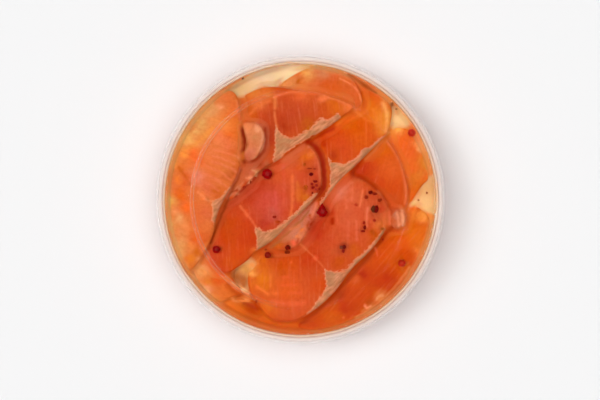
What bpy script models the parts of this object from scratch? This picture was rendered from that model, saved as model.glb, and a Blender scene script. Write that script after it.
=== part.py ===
"""Trout fillet slices in oil, in a round clear tub that a push-on lid shuts.

Metres, +Z up. The tub stands on its foot ring at z = 0, with its axis on the origin.
"""

import math

import bmesh
import bpy
import numpy as np
from mathutils import Matrix, Vector, geometry

MM = 0.001

# Tub: a thin tapered wall of revolution on a low foot ring, with a flange round its mouth.
TURN_STEPS = 60
WALL = 0.8 * MM
FLOOR_TOP = 1.9 * MM
FLOOR_BOTTOM = 0.8 * MM
FOOT_RADIUS = 40.2 * MM
FOOT_WIDTH = 2.2 * MM
FOOT_SLOPE = 0.7 * MM
FOOT_CORNER = (1.2 * MM, 0.6 * MM)
WALL_START = 2.0 * MM
BASE_RADIUS = 43.6 * MM
MOUTH_RADIUS = 49.6 * MM
TAPER_BOTTOM = 2.8 * MM
TAPER_TOP = 31.0 * MM
RIM_TOP = 32.4 * MM
FLANGE_RADIUS = 50.75 * MM
FLANGE_UNDER = 29.2 * MM
FLANGE_SLOPE = 0.7 * MM
EASE = 0.4 * MM

# Lid: its panel sits below the bead, in the tub's mouth, and has one raised stacking ring.
LID_RADIUS = 52.0 * MM
LID_TOP = 33.7 * MM
SKIRT_BOTTOM = 28.0 * MM
SKIRT_INSIDE = 51.1 * MM
PANEL_TOP = 31.4 * MM
PANEL_BOTTOM = 30.7 * MM
RING_RADIUS = 39.0 * MM
RING_HEIGHT = 0.9 * MM
RING_CREST = 0.75 * MM
RING_SLOPE = 0.75 * MM
PLUG_RADIUS = MOUTH_RADIUS - 0.3 * MM
PLUG_WALL = 0.7 * MM
BEAD_UNDER = RIM_TOP + 0.5 * MM
BEAD_CORNER = 0.6 * MM

# Filling: slices lie under the lid like roof tiles, on a heap of more slices.
FILL_TOP = PANEL_BOTTOM - 0.5 * MM
SLICE_GAP = 0.45 * MM
SLICE_MARGIN = 0.5 * MM
SLIDE_UNDER = 2.0 * MM
WALL_GAP = 0.5 * MM
EDGE_ROUND = 1.1 * MM
EDGE_SHARE = 0.4
OUTLINE_STEP = 4.4 * MM
OUTLINE_LEAST = 12
LATTICE_STEP = 4.8 * MM
SPLINE_STEPS = 10
DENT_STEPS = 8
DENT_RIM = 0.9 * MM
CORN_MARGIN = 0.3 * MM
WRINKLES = 5
WRINKLE_DEPTH = 0.05
FLECK_SHAPE = (1.1, 0.85, 0.5)
FLECK_TURN = 1.3

# Height fields over the mouth: the grid that the slices are laid out on.
FIELD_STEP = 0.5 * MM
FIELD_REACH = 50.0 * MM
BLUR_REACH = 2
RELAX_SWEEPS = 14

# Heap below the slices: its side shows the edges of its own layers through the wall.
HEAP_STEPS = 48
HEAP_EDGE = 46.2 * MM
HEAP_BOTTOM = FLOOR_TOP + 0.4 * MM
HEAP_WALL_GAP = 0.6 * MM
HEAP_TOP_GAP = 0.2 * MM
HEAP_SPREAD = 2.5 * MM
HEAP_LAYERS = 7
LAYER_ROWS = 3
HEAP_GROOVE = 1.3 * MM
HEAP_WAVE = 0.9 * MM
HEAP_RINGS = 8
POOL_DEPTH = 8.5 * MM

FLESH = (0.62, 0.10, 0.035)
DEEP_FLESH = (0.55, 0.07, 0.015)
PALE_FLESH = (0.72, 0.22, 0.10)
PEPPERCORN_RED = (0.28, 0.0, 0.004)
CLEAR_PLASTIC = (0.93, 0.93, 0.92)

# Slices from the top one down. The outline is seen from above, in millimetres from the axis.
# sink is how deep the middle of the slice lies under the fill line, in millimetres,
# then how much deeper per millimetre it gets, and the heading in which it does, in degrees.
SLICES = {
    "curl_large": {
        "outline": [(-20.8, 27.5), (-18, 27.7), (-15, 27), (-13, 24.5), (-13, 21), (-14.5, 17),
                    (-16.5, 14.2), (-19.5, 13.5), (-20.4, 16.5), (-19.3, 20.5), (-20.2, 24.5)],
        "sink": (0.3, 0.0, 0), "thick": 1.5, "colour": PALE_FLESH,
    },
    "slice_left": {
        "outline": [(-23.5, 38.6), (-21.8, 32), (-21.5, 25), (-21.5, 17.5), (-22, 11), (-24, 6), (-28, -0.5),
                    (-30.5, -6.5), (-31.5, -13), (-34, -18), (-37, -23), (-41.5, -26.5), (-45.5, -20),
                    (-48.5, -10.5), (-49.5, -1.5), (-49, 8), (-46.5, 17), (-42, 26),
                    (-36, 34), (-29, 40.5)],
        "sink": (1.2, 0.10, 150), "thick": 2.6, "colour": FLESH,
    },
    "curl_small": {
        "outline": [(33, -5.5), (35, -4), (37, -4.5), (38, -7), (36.5, -10), (34, -10.5), (32.4, -8.5)],
        "sink": (0.9, 0.0, 0), "thick": 1.4, "colour": PALE_FLESH,
    },
    "slice_top": {
        "outline": [(-22.5, 36), (-18, 38.5), (-13.5, 40.3), (-8, 40.3), (0, 39), (7, 38), (14, 36),
                    (20.3, 33), (16, 30.8), (11.5, 27), (6.5, 24), (0.5, 20), (-4.5, 16.3), (-9, 13.6),
                    (-14, 10.9), (-18, 7), (-22.5, 2.5), (-26, -1.5), (-28, 1), (-26.5, 10), (-24.5, 24)],
        "sink": (0.9, 0.035, 110), "thick": 2.4, "colour": FLESH,
    },
    "slice_middle": {
        "outline": [(0, 20), (4, 19), (6.5, 15), (7.5, 10), (7.5, 5), (5.5, 1), (1, -4), (-4, -8.5),
                    (-8, -13), (-12.5, -16.5), (-16, -18), (-19, -22), (-23, -24.5), (-27, -27),
                    (-31.5, -24.5), (-34, -20), (-32, -10), (-26, 2), (-14, 13)],
        "sink": (0.6, 0.02, 200), "thick": 2.4, "colour": FLESH,
    },
    "slice_rim_top": {
        "outline": [(-7.5, 41.5), (-3, 44.4), (0.5, 46.3), (4, 49), (10, 49), (15.5, 47.5),
                    (19.5, 43), (22.5, 36.5), (21.5, 33), (12, 31.5), (-4, 35.5)],
        "sink": (2.0, 0.05, 90), "thick": 2.4, "colour": DEEP_FLESH,
    },
    "slice_right": {
        "outline": [(31.5, 24), (27.5, 20), (23, 15.5), (18.5, 11), (14, 7), (10.5, 2.5), (7.5, -2.5),
                    (4.5, -8), (1.5, -13), (-1, -17), (-6, -18.2), (-11, -17.3), (-15, -15), (-8, -1.5),
                    (2.5, 15.5), (13.5, 32), (19, 37), (26.5, 41.5), (30.5, 39), (33, 35), (32.6, 28.5)],
        "sink": (0.9, 0.045, 60), "thick": 2.4, "colour": FLESH,
    },
    "slice_lower": {
        "outline": [(18, 8.5), (22.5, 7), (27, 3.5), (30.5, -0.5), (32, -4.5), (31.5, -9), (28.5, -14),
                    (24, -19.5), (18.5, -24.5), (15, -29.5), (11.5, -34), (6.5, -38.5), (-1, -43.4),
                    (-7.5, -44), (-12, -42.5), (-14.5, -38.5), (-18, -34), (-19, -29.5), (-18, -24),
                    (-10, -15.5), (4, -5.5), (11, 4)],
        "sink": (0.6, 0.035, 235), "thick": 2.5, "colour": FLESH,
    },
    "slice_inner_right": {
        "outline": [(26.5, 25), (31, 22), (34.5, 17), (37, 11), (38.5, 5.5), (39, 0.5), (37, -4),
                    (33, -6.5), (20, -4), (16.5, 3.5), (21.5, 20.5)],
        "sink": (2.2, 0.02, 0), "thick": 2.2, "colour": DEEP_FLESH,
    },
    "slice_rim_right": {
        "outline": [(29, 25.5), (33.5, 26), (38, 26.3), (42, 26), (45.5, 19.5), (48.5, 12), (47.3, 7.5),
                    (43, 4.5), (41, 0.5), (38, -3), (32, 0), (27.5, 18)],
        "sink": (3.0, 0.04, 40), "thick": 2.4, "colour": DEEP_FLESH,
    },
    "slice_rim_left": {
        "outline": [(-42, -26.5), (-35, -20), (-30.5, -20.5), (-26.5, -24), (-25, -28), (-23, -31.5),
                    (-19, -34), (-23, -34.7), (-26.5, -35.5), (-29.5, -37.8), (-34.5, -35.5), (-39.5, -31)],
        "sink": (2.2, 0.04, 230), "thick": 2.3, "colour": DEEP_FLESH,
    },
    "slice_tuck": {
        "outline": [(-27.5, -33.5), (-21.5, -32), (-16.5, -34), (-16.5, -37), (-20.5, -37.5),
                    (-24, -37), (-27.5, -36.5)],
        "sink": (3.5, 0.0, 0), "thick": 1.8, "colour": DEEP_FLESH,
    },
    "slice_rim_lower": {
        "outline": [(35.5, -6.5), (39, -3), (42, -2), (44.5, -4.8), (49, -7.5), (48, -13), (45, -20.5),
                    (41.5, -27), (36, -34), (29.5, -40), (22.5, -44), (13, -47.5), (4.5, -49),
                    (-1.5, -46), (0, -42), (16, -22.5), (30, -8)],
        "sink": (2.2, 0.03, 315), "thick": 2.4, "colour": DEEP_FLESH,
    },
    "slice_rim_bottom": {
        "outline": [(-29, -40), (-21.5, -36), (-16, -37), (-11, -39.5), (-3, -41), (5.5, -40), (12.5, -42),
                    (15, -47), (8.5, -49), (0, -49.5), (-9, -48.5), (-18, -46), (-24.5, -43)],
        "sink": (4.5, 0.03, 270), "thick": 2.4, "colour": DEEP_FLESH,
    },
}

# Peppercorns: centre from above, radius and depth under the fill line, in millimetres,
# height over width, and the first slice that each one presses into.
PEPPERCORNS = {
    "peppercorn_1": {"at": (-12, 9.1), "radius": 1.9, "sink": 0.1, "tall": 0.95, "into": "slice_middle"},
    "peppercorn_2": {"at": (7.8, -4.4), "radius": 2.1, "sink": 0.1, "tall": 0.9, "into": "slice_right"},
    "peppercorn_3": {"at": (-30.3, -18), "radius": 1.45, "sink": 0.4, "tall": 0.95, "into": "slice_middle"},
    "peppercorn_4": {"at": (40.1, 24), "radius": 1.45, "sink": 1.5, "tall": 1.0, "into": "slice_rim_right"},
    "peppercorn_5": {"at": (36.5, -23), "radius": 1.4, "sink": 1.3, "tall": 0.9, "into": "slice_rim_lower"},
    "peppercorn_6": {"at": (-11.8, -20), "radius": 1.2, "sink": 0.3, "tall": 0.8, "into": "slice_lower"},
}

# Crushed pepper stuck to the slices: place from above and width, in millimetres.
FLECKS = {
    "slice_middle": [(4.4, 11.2, 1.0), (3.7, 9.1, 1.3), (5.0, 6.2, 1.6), (3.8, 4.4, 1.4), (5.4, 3.2, 1.1),
                     (1.6, 4.3, 0.9), (-9.4, -6.0, 1.1), (-8.4, -7.9, 0.9)],
    "slice_right": [(-4.5, -17.1, 1.9)],
    "slice_lower": [(26.7, -3.1, 2.3), (15.3, -17.1, 2.3), (23.4, 0.8, 1.2), (25.2, 2.6, 1.6),
                    (26.6, 1.6, 1.0), (28.4, -0.6, 1.5), (26.2, -7.4, 1.0), (22.8, -10.4, 1.6),
                    (22.3, -8.2, 0.9)],
}


def clear_scene():
    for thing in list(bpy.data.objects):
        bpy.data.objects.remove(thing, do_unlink=True)


def finish(name, colour, roughness, alpha=1.0):
    """A plain material for one piece."""
    material = bpy.data.materials.new(name)
    material.use_nodes = True
    shader = material.node_tree.nodes["Principled BSDF"]
    shader.inputs["Base Color"].default_value = (*colour, 1.0)
    shader.inputs["Roughness"].default_value = roughness
    shader.inputs["Metallic"].default_value = 0.0
    shader.inputs["Alpha"].default_value = alpha
    return material


def piece(name, corners, faces, material, crease=35):
    """One named object from its corners and faces, shaded smooth but for its creases."""
    mesh = bpy.data.meshes.new(name)
    mesh.from_pydata([tuple(map(float, corner)) for corner in corners], [], faces)
    mesh.update()
    mesh.materials.append(material)
    mesh.shade_smooth()
    mesh.set_sharp_from_angle(angle=math.radians(crease))
    made = bpy.data.objects.new(name, mesh)
    bpy.context.scene.collection.objects.link(made)
    return made


# ---- tub and lid ----

def stacked(name, loops, bottom, top, material, crease=35):
    """A closed piece from loops of corners, the lowest first, with a point on the axis at each end."""
    count = len(loops[0])
    corners = [(0, 0, bottom), *(place for loop in loops for place in loop), (0, 0, top)]
    last = len(corners) - 1

    def corner(row, step):
        return 1 + row * count + step % count

    faces = []
    for step in range(count):
        faces.append((0, corner(0, step + 1), corner(0, step)))
        for row in range(len(loops) - 1):
            faces.append((corner(row, step), corner(row, step + 1),
                          corner(row + 1, step + 1), corner(row + 1, step)))
        faces.append((corner(len(loops) - 1, step), corner(len(loops) - 1, step + 1), last))
    return piece(name, corners, faces, material, crease)


def turned(name, profile, material):
    """A solid of revolution. Its profile goes from the axis below, round outside, to the axis above."""
    loops = []
    for radius, height in profile[1:-1]:
        turns = [math.tau * step / TURN_STEPS for step in range(TURN_STEPS)]
        loops.append([(radius * math.cos(turn), radius * math.sin(turn), height) for turn in turns])
    return stacked(name, loops, profile[0][1], profile[-1][1], material)


def bore(height):
    """The radius of the tub's inner wall at a height."""
    rise = (height - TAPER_BOTTOM) / (TAPER_TOP - TAPER_BOTTOM)
    return BASE_RADIUS + (MOUTH_RADIUS - BASE_RADIUS) * rise


def make_tub():
    """A hollow foot ring, the wall and its flange, then the bore and the floor inside."""
    foot_out = FOOT_RADIUS + FOOT_WIDTH
    corner_out, corner_up = FOOT_CORNER
    profile = [
        (0, FLOOR_BOTTOM),
        (FOOT_RADIUS - FOOT_SLOPE, FLOOR_BOTTOM),
        (FOOT_RADIUS, 0),
        (foot_out, 0),
        (foot_out + corner_out, corner_up),
        (bore(WALL_START) + WALL, WALL_START),
        (bore(FLANGE_UNDER) + WALL, FLANGE_UNDER),
        (FLANGE_RADIUS, FLANGE_UNDER + FLANGE_SLOPE),
        (FLANGE_RADIUS, RIM_TOP - EASE),
        (FLANGE_RADIUS - EASE, RIM_TOP),
        (MOUTH_RADIUS + EASE, RIM_TOP),
        (MOUTH_RADIUS, RIM_TOP - EASE),
        (MOUTH_RADIUS, TAPER_TOP),
        (bore(TAPER_BOTTOM), TAPER_BOTTOM),
        (foot_out, FLOOR_TOP),
        (0, FLOOR_TOP),
    ]
    return turned("tub", profile, finish("tub_plastic", CLEAR_PLASTIC, 0.12, 0.3))


def make_lid():
    """The panel's underside, the plug and the skirt that grip the rim, the bead and the panel's top."""
    foot_in = RING_RADIUS - RING_CREST - RING_SLOPE
    foot_out = RING_RADIUS + RING_CREST + RING_SLOPE
    ring_under = PANEL_BOTTOM + RING_HEIGHT
    ring_top = PANEL_TOP + RING_HEIGHT
    plug_in = PLUG_RADIUS - PLUG_WALL
    profile = [
        (0, PANEL_BOTTOM),
        (foot_in, PANEL_BOTTOM),
        (RING_RADIUS - RING_CREST / 2, ring_under),
        (RING_RADIUS + RING_CREST / 2, ring_under),
        (foot_out, PANEL_BOTTOM),
        (plug_in, PANEL_BOTTOM),
        (PLUG_RADIUS, PANEL_BOTTOM + EASE),
        (PLUG_RADIUS, RIM_TOP),
        (PLUG_RADIUS + BEAD_CORNER, BEAD_UNDER),
        (SKIRT_INSIDE - EASE, BEAD_UNDER),
        (SKIRT_INSIDE, RIM_TOP),
        (SKIRT_INSIDE, SKIRT_BOTTOM),
        (LID_RADIUS, SKIRT_BOTTOM),
        (LID_RADIUS, LID_TOP - BEAD_CORNER),
        (LID_RADIUS - BEAD_CORNER, LID_TOP),
        (PLUG_RADIUS, LID_TOP),
        (PLUG_RADIUS - BEAD_CORNER, LID_TOP - BEAD_CORNER),
        (plug_in - EASE, PANEL_TOP + EASE),
        (plug_in - 2 * EASE, PANEL_TOP),
        (foot_out, PANEL_TOP),
        (RING_RADIUS + RING_CREST, ring_top),
        (RING_RADIUS - RING_CREST, ring_top),
        (foot_in, PANEL_TOP),
        (0, PANEL_TOP),
    ]
    return turned("lid", profile, finish("lid_plastic", CLEAR_PLASTIC, 0.1, 0.25))


# ---- height fields over the mouth ----

def field_places():
    """The x and y of every cell."""
    axis = np.arange(-FIELD_REACH, FIELD_REACH + FIELD_STEP / 2, FIELD_STEP)
    return np.meshgrid(axis, axis)


def shifted(field, right, up):
    """The field moved by whole cells, with its border repeated."""
    rows = np.clip(np.arange(field.shape[0]) - up, 0, field.shape[0] - 1)
    columns = np.clip(np.arange(field.shape[1]) - right, 0, field.shape[1] - 1)
    return field[rows][:, columns]


def lowest(field, radius):
    """Each cell takes the lowest value that lies within the radius."""
    for _ in range(round(radius / FIELD_STEP)):
        sides = [shifted(field, right, up) for right, up in ((1, 0), (-1, 0), (0, 1), (0, -1))]
        field = np.minimum.reduce([field, *sides])
    return field


def blurred(field):
    """Each cell takes the mean of its neighbours."""
    cells = range(-BLUR_REACH, BLUR_REACH + 1)
    for right, up in ((1, 0), (0, 1)):
        field = sum(shifted(field, right * k, up * k) for k in cells) / len(cells)
    return field


def relaxed(ceiling):
    """A smooth sheet that stays under the ceiling, as a limp slice does under what lies on it."""
    sheet = ceiling
    for _ in range(RELAX_SWEEPS):
        sheet = np.minimum(blurred(sheet), ceiling)
    return sheet


def level(field, x, y):
    """The field's value at a place, between its cells."""
    last = field.shape[0] - 2
    across = np.clip((np.asarray(x) + FIELD_REACH) / FIELD_STEP, 0, last + 0.999)
    along = np.clip((np.asarray(y) + FIELD_REACH) / FIELD_STEP, 0, last + 0.999)
    column = across.astype(int)
    row = along.astype(int)
    right = across - column
    up = along - row
    low = field[row, column] * (1 - right) + field[row, column + 1] * right
    high = field[row + 1, column] * (1 - right) + field[row + 1, column + 1] * right
    return low * (1 - up) + high * up


# ---- outlines ----

def spline(points):
    """A smooth closed line through the points, in metres."""
    places = np.array(points, dtype=float) * MM
    t = (np.arange(SPLINE_STEPS) / SPLINE_STEPS)[:, None]
    before, start, end, after = (np.roll(places, shift, axis=0) for shift in (1, 0, -1, -2))
    runs = []
    for p0, p1, p2, p3 in zip(before, start, end, after):
        runs.append(0.5 * (2 * p1 + (p2 - p0) * t + (2 * p0 - 5 * p1 + 4 * p2 - p3) * t ** 2
                           + (3 * p1 - p0 - 3 * p2 + p3) * t ** 3))
    return np.concatenate(runs)


def evenly(line, step):
    """The closed line with its points about one step apart."""
    ring = np.vstack([line, line[:1]])
    lengths = np.hypot(*np.diff(ring, axis=0).T)
    travelled = np.concatenate([[0], np.cumsum(lengths)])
    count = max(OUTLINE_LEAST, round(travelled[-1] / step))
    stops = np.linspace(0, travelled[-1], count, endpoint=False)
    return np.column_stack([np.interp(stops, travelled, ring[:, k]) for k in (0, 1)])


def depth_inside(line, x, y):
    """How far a place is inside the closed line, or minus its distance outside."""
    x = np.asarray(x, dtype=float)
    y = np.asarray(y, dtype=float)
    nearest = np.full(x.shape, np.inf)
    inside = np.zeros(x.shape, dtype=bool)
    for (ax, ay), (bx, by) in zip(line, np.roll(line, -1, axis=0)):
        run = np.array([bx - ax, by - ay])
        share = np.clip(((x - ax) * run[0] + (y - ay) * run[1]) / (run @ run), 0, 1)
        nearest = np.minimum(nearest, np.hypot(x - ax - share * run[0], y - ay - share * run[1]))
        if ay != by:
            crosses = (ay > y) != (by > y)
            inside ^= crosses & (x < ax + (y - ay) * run[0] / run[1])
    return np.where(inside, nearest, -nearest)


# ---- slices ----

def edge_share(depth):
    """How full the slice's thickness is at this depth inside its outline: its cut edge is rounded."""
    open_part = 1 - np.clip(depth / EDGE_ROUND, 0, 1)
    return EDGE_SHARE + (1 - EDGE_SHARE) * np.sqrt(1 - open_part ** 2)


def round_dent(x, y, radius):
    """Places round a peppercorn that a slice's mesh needs to follow the dent under it."""
    turns = np.arange(DENT_STEPS) * math.tau / DENT_STEPS
    circle = np.column_stack([np.cos(turns), np.sin(turns)])
    return np.concatenate([np.array([x, y]) + reach * circle for reach in (radius / 2, radius + DENT_RIM)])


def edge_ring(line):
    """The outline's points again, moved in to where its rounded edge ends."""
    ahead = np.roll(line, -1, axis=0) - np.roll(line, 1, axis=0)
    inward = np.column_stack([-ahead[:, 1], ahead[:, 0]]) / np.hypot(*ahead.T)[:, None]
    if depth_inside(line, *(line[0] + inward[0] * EDGE_ROUND / 4)) < 0:
        inward = -inward
    ring = line + inward * EDGE_ROUND
    return ring[depth_inside(line, *ring.T) > EDGE_ROUND * 0.8]


def inner_points(line, dents):
    """An even lattice inside the edge ring, with finer rings round each dent."""
    columns = np.arange(-FIELD_REACH, FIELD_REACH, LATTICE_STEP)
    rows = np.arange(-FIELD_REACH, FIELD_REACH, LATTICE_STEP * math.sqrt(3) / 2)
    lattice = np.array([(x + (k % 2) * LATTICE_STEP / 2, y) for k, y in enumerate(rows) for x in columns])
    lattice = lattice[depth_inside(line, *lattice.T) > EDGE_ROUND + LATTICE_STEP / 2]
    for x, y, radius in dents:
        away = np.hypot(lattice[:, 0] - x, lattice[:, 1] - y)
        near = round_dent(x, y, radius)
        near = near[depth_inside(line, *near.T) > EDGE_ROUND + DENT_RIM / 2]
        lattice = np.concatenate([lattice[away > radius + 3 * DENT_RIM], near])
    return lattice


def turn_left(flat, face):
    """The triangle with its corners in anticlockwise order."""
    a, b, c = (flat[k] for k in face)
    turn = (b[0] - a[0]) * (c[1] - a[1]) - (b[1] - a[1]) * (c[0] - a[0])
    return tuple(face) if turn > 0 else tuple(reversed(face))


def flat_mesh(line, dents):
    """Triangles that fill the outline."""
    points = [Vector(place) for place in (*line, *edge_ring(line), *inner_points(line, dents))]
    found = geometry.delaunay_2d_cdt(points, [], [list(range(len(line)))], 1, 1e-7)
    flat = np.array([tuple(place) for place in found[0]])
    triangles = [turn_left(flat, face) for face in found[2]]
    used = sorted({k for face in triangles for k in face})
    number = {old: new for new, old in enumerate(used)}
    return flat[used], [tuple(number[k] for k in face) for face in triangles]


def make_slice(name, line, sheet, dents):
    """A slice whose top follows the sheet, its underside the same sheet one thickness down."""
    thick = SLICES[name]["thick"] * MM
    flat, triangles = flat_mesh(evenly(line, OUTLINE_STEP), dents)
    x, y = flat.T
    half = thick / 2 * edge_share(depth_inside(line, x, y))
    middle = level(sheet, x, y) - thick / 2
    count = len(flat)
    corners = [*zip(x, y, middle + half), *zip(x, y, middle - half)]
    faces = list(triangles)
    faces += [tuple(count + k for k in reversed(face)) for face in triangles]
    directed = {(face[k], face[(k + 1) % 3]) for face in triangles for k in range(3)}
    for a, b in sorted(directed):
        if (b, a) not in directed:
            faces.append((b, a, count + a, count + b))
    return piece(name, corners, faces, finish(name, SLICES[name]["colour"], 0.4))


def trimmed(line, sheet, thick):
    """The outline, pulled in where it would pass the tub's tapered wall."""
    away = np.hypot(*line.T)
    room = bore(level(sheet, *line.T) - thick) - WALL_GAP
    return line * np.minimum(1, room / away)[:, None]


def lay_slice(name, ceiling):
    """Lays one slice under what is above it. Gives its outline, its top sheet and the new ceiling."""
    facts = SLICES[name]
    line = spline(facts["outline"])
    thick = facts["thick"] * MM
    depth, slope, heading = facts["sink"]
    x, y = field_places()
    middle = line.mean(axis=0)
    turn = math.radians(heading)
    along = (x - middle[0]) * math.cos(turn) + (y - middle[1]) * math.sin(turn)
    wanted = FILL_TOP - np.maximum(depth * MM + slope * along, 0)
    sheet = relaxed(np.minimum(wanted, lowest(ceiling, SLIDE_UNDER)))
    line = trimmed(line, sheet, thick)
    inside = depth_inside(line, x, y)
    under = sheet - thick - SLICE_GAP
    ceiling = np.where(inside > -SLICE_MARGIN, np.minimum(ceiling, under), ceiling)
    return line, sheet, ceiling


# ---- peppercorns and flecks ----

def lay_peppercorn(name, ceiling):
    """Puts a peppercorn under the ceiling. Gives its middle and the new ceiling."""
    facts = PEPPERCORNS[name]
    radius = facts["radius"] * MM
    tall = facts["tall"]
    x, y = field_places()
    away = np.hypot(x - facts["at"][0] * MM, y - facts["at"][1] * MM)
    free = ceiling[away < radius].min()
    height = min(free, FILL_TOP - facts["sink"] * MM) - radius * tall
    bottom = height - tall * np.sqrt(np.maximum(radius ** 2 - away ** 2, 0)) - SLICE_GAP
    ceiling = np.where(away < radius + CORN_MARGIN, np.minimum(ceiling, bottom), ceiling)
    return (facts["at"][0] * MM, facts["at"][1] * MM, height), ceiling


def ball(name, radius, fineness, shape):
    """A mesh of an icosphere, each of whose corners goes through the shape function."""
    bm = bmesh.new()
    bmesh.ops.create_icosphere(bm, subdivisions=fineness, radius=radius)
    for vertex in bm.verts:
        vertex.co = shape(vertex.co)
    mesh = bpy.data.meshes.new(name)
    bm.to_mesh(mesh)
    bm.free()
    return mesh


def make_peppercorn(name, middle):
    """A dried peppercorn: a ball with a few shallow wrinkles."""
    facts = PEPPERCORNS[name]

    def shape(place):
        way = place.normalized()
        wave = math.sin(WRINKLES * math.atan2(way.y, way.x) + 3 * way.z)
        wrinkle = 1 - WRINKLE_DEPTH * (1 + wave) / 2
        return Vector((place.x, place.y, place.z * facts["tall"])) * wrinkle + Vector(middle)

    mesh = ball(name, facts["radius"] * MM, 2, shape)
    mesh.materials.append(finish(name, PEPPERCORN_RED, 0.45))
    mesh.shade_smooth()
    bpy.context.scene.collection.objects.link(bpy.data.objects.new(name, mesh))


def add_flecks(owner, flecks):
    """Crumbs of crushed pepper, half sunk in the slice's top and joined to it."""
    group = bpy.data.collections.new("flecks")
    bpy.context.scene.collection.children.link(group)
    for number, (x, y, width) in enumerate(flecks):
        _, place, _, _ = owner.ray_cast(Vector((x * MM, y * MM, LID_TOP)), Vector((0, 0, -1)))
        turn = Matrix.Rotation(FLECK_TURN * number, 3, "Z") @ Matrix.Diagonal(FLECK_SHAPE)
        mesh = ball(f"fleck_{number}", width / 2 * MM, 1, lambda corner: turn @ corner + place)
        group.objects.link(bpy.data.objects.new(mesh.name, mesh))
    union = owner.modifiers.new("flecks", "BOOLEAN")
    union.operation = "UNION"
    union.operand_type = "COLLECTION"
    union.collection = group
    bpy.context.view_layer.objects.active = owner
    bpy.ops.object.modifier_apply(modifier=union.name)
    for thing in list(group.objects):
        bpy.data.objects.remove(thing, do_unlink=True)
    bpy.data.collections.remove(group)


# ---- heap ----

def heap_roof(ceiling):
    """The heap's top sheet: just under the slices, and well down where only oil lies over it."""
    bare = ceiling == FILL_TOP
    wanted = np.where(bare, FILL_TOP - POOL_DEPTH, ceiling - HEAP_TOP_GAP)
    return relaxed(lowest(wanted, HEAP_SPREAD))


def heap_side(row, turn, roof):
    """One corner of the heap's side. A groove goes round between each layer and the next."""
    share = row / (HEAP_LAYERS * LAYER_ROWS)
    layer = row // LAYER_ROWS
    wave = HEAP_WAVE * math.sin(3 * turn + 2.1 * layer) * math.sin(math.pi * share)
    height = HEAP_BOTTOM + (roof - HEAP_BOTTOM) * share + wave
    radius = min(bore(height), HEAP_EDGE + 2 * HEAP_WALL_GAP) - HEAP_WALL_GAP
    if row % LAYER_ROWS == 0:
        radius -= HEAP_GROOVE * (0.6 + 0.4 * math.sin(2 * turn + 1.7 * layer))
    return radius * math.cos(turn), radius * math.sin(turn), height


def make_heap(ceiling):
    """The slices below, as one body: its top follows what lies on it and its side shows layers."""
    top = heap_roof(ceiling)
    turns = [math.tau * step / HEAP_STEPS for step in range(HEAP_STEPS)]

    def top_corner(radius, turn):
        x, y = radius * math.cos(turn), radius * math.sin(turn)
        return x, y, float(level(top, x, y))

    reach = BASE_RADIUS / 2
    loops = [[(reach * math.cos(turn), reach * math.sin(turn), HEAP_BOTTOM) for turn in turns]]
    for row in range(HEAP_LAYERS * LAYER_ROWS + 1):
        loops.append([heap_side(row, turn, top_corner(HEAP_EDGE, turn)[2]) for turn in turns])
    for ring in range(HEAP_RINGS - 1, 0, -1):
        loops.append([top_corner(HEAP_EDGE * ring / HEAP_RINGS, turn) for turn in turns])
    material = finish("fish_heap", DEEP_FLESH, 0.45)
    return stacked("fish_heap", loops, HEAP_BOTTOM, top_corner(0, 0)[2], material, crease=60)


def main():
    clear_scene()
    make_tub()
    make_lid()
    x, _ = field_places()
    ceiling = np.full(x.shape, FILL_TOP)
    dents = []
    for name in SLICES:
        for corn, about in PEPPERCORNS.items():
            if about["into"] == name:
                middle, ceiling = lay_peppercorn(corn, ceiling)
                make_peppercorn(corn, middle)
                dents.append((middle[0], middle[1], about["radius"] * MM))
        line, sheet, ceiling = lay_slice(name, ceiling)
        made = make_slice(name, line, sheet, dents)
        if name in FLECKS:
            add_flecks(made, FLECKS[name])
    make_heap(ceiling)


main()
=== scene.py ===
import math

import bpy
import numpy as np
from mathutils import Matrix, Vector


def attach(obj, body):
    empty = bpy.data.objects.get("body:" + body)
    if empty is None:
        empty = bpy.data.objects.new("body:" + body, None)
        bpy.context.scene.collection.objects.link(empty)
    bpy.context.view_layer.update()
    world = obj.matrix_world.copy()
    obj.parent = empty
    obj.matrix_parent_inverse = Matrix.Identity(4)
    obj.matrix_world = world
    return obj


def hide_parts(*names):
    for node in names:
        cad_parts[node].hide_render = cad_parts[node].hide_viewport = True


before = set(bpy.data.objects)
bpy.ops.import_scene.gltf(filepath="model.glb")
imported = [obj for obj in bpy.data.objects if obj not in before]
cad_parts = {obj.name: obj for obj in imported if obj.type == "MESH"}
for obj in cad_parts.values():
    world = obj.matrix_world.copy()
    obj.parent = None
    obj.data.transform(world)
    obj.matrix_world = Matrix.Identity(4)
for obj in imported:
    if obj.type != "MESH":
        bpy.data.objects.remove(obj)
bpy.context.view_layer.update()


# ---- Tub ----
# A thin tapered tub, moulded of clear polypropylene in one with its foot ring and the flange round
# its mouth. The plastic is clear, and a little milky at the flange.

MM = 0.001
TURN_STEPS = 192
FLOOR_UNDER = 0.8
FLOOR_TOP = 1.9
FOOT_INNER = 40.2
FOOT_OUTER = 42.4
FLANGE_RADIUS = 50.75
RIM_TOP = 32.4
BORE_FOOT = (43.6, 2.8)
BORE_MOUTH = (49.6, 31.0)
LID_RADIUS = 52
# Radius and height in millimetres, out under the floor, up the outside and down the bore.
TUB_PROFILE = [
    (0, FLOOR_UNDER), (39.4, FLOOR_UNDER), (FOOT_INNER, 0.0), (FOOT_OUTER, 0.0), (43.6, 0.6), (44.25, 2.0),
    (50.0, 29.2), (FLANGE_RADIUS, 29.9), (FLANGE_RADIUS, 32.0), (50.35, RIM_TOP), (50.0, RIM_TOP),
    (BORE_MOUTH[0], 32.0), BORE_MOUTH, BORE_FOOT, (FOOT_OUTER, FLOOR_TOP), (0, FLOOR_TOP),
]
PANEL_GLOSS = 0.004
RIM_GLOSS = 0.045
# Along x, where the painted glints on the lid are full and where they have faded out.
GLINTS_FULL = -28 * MM
GLINTS_END = -4 * MM


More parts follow.
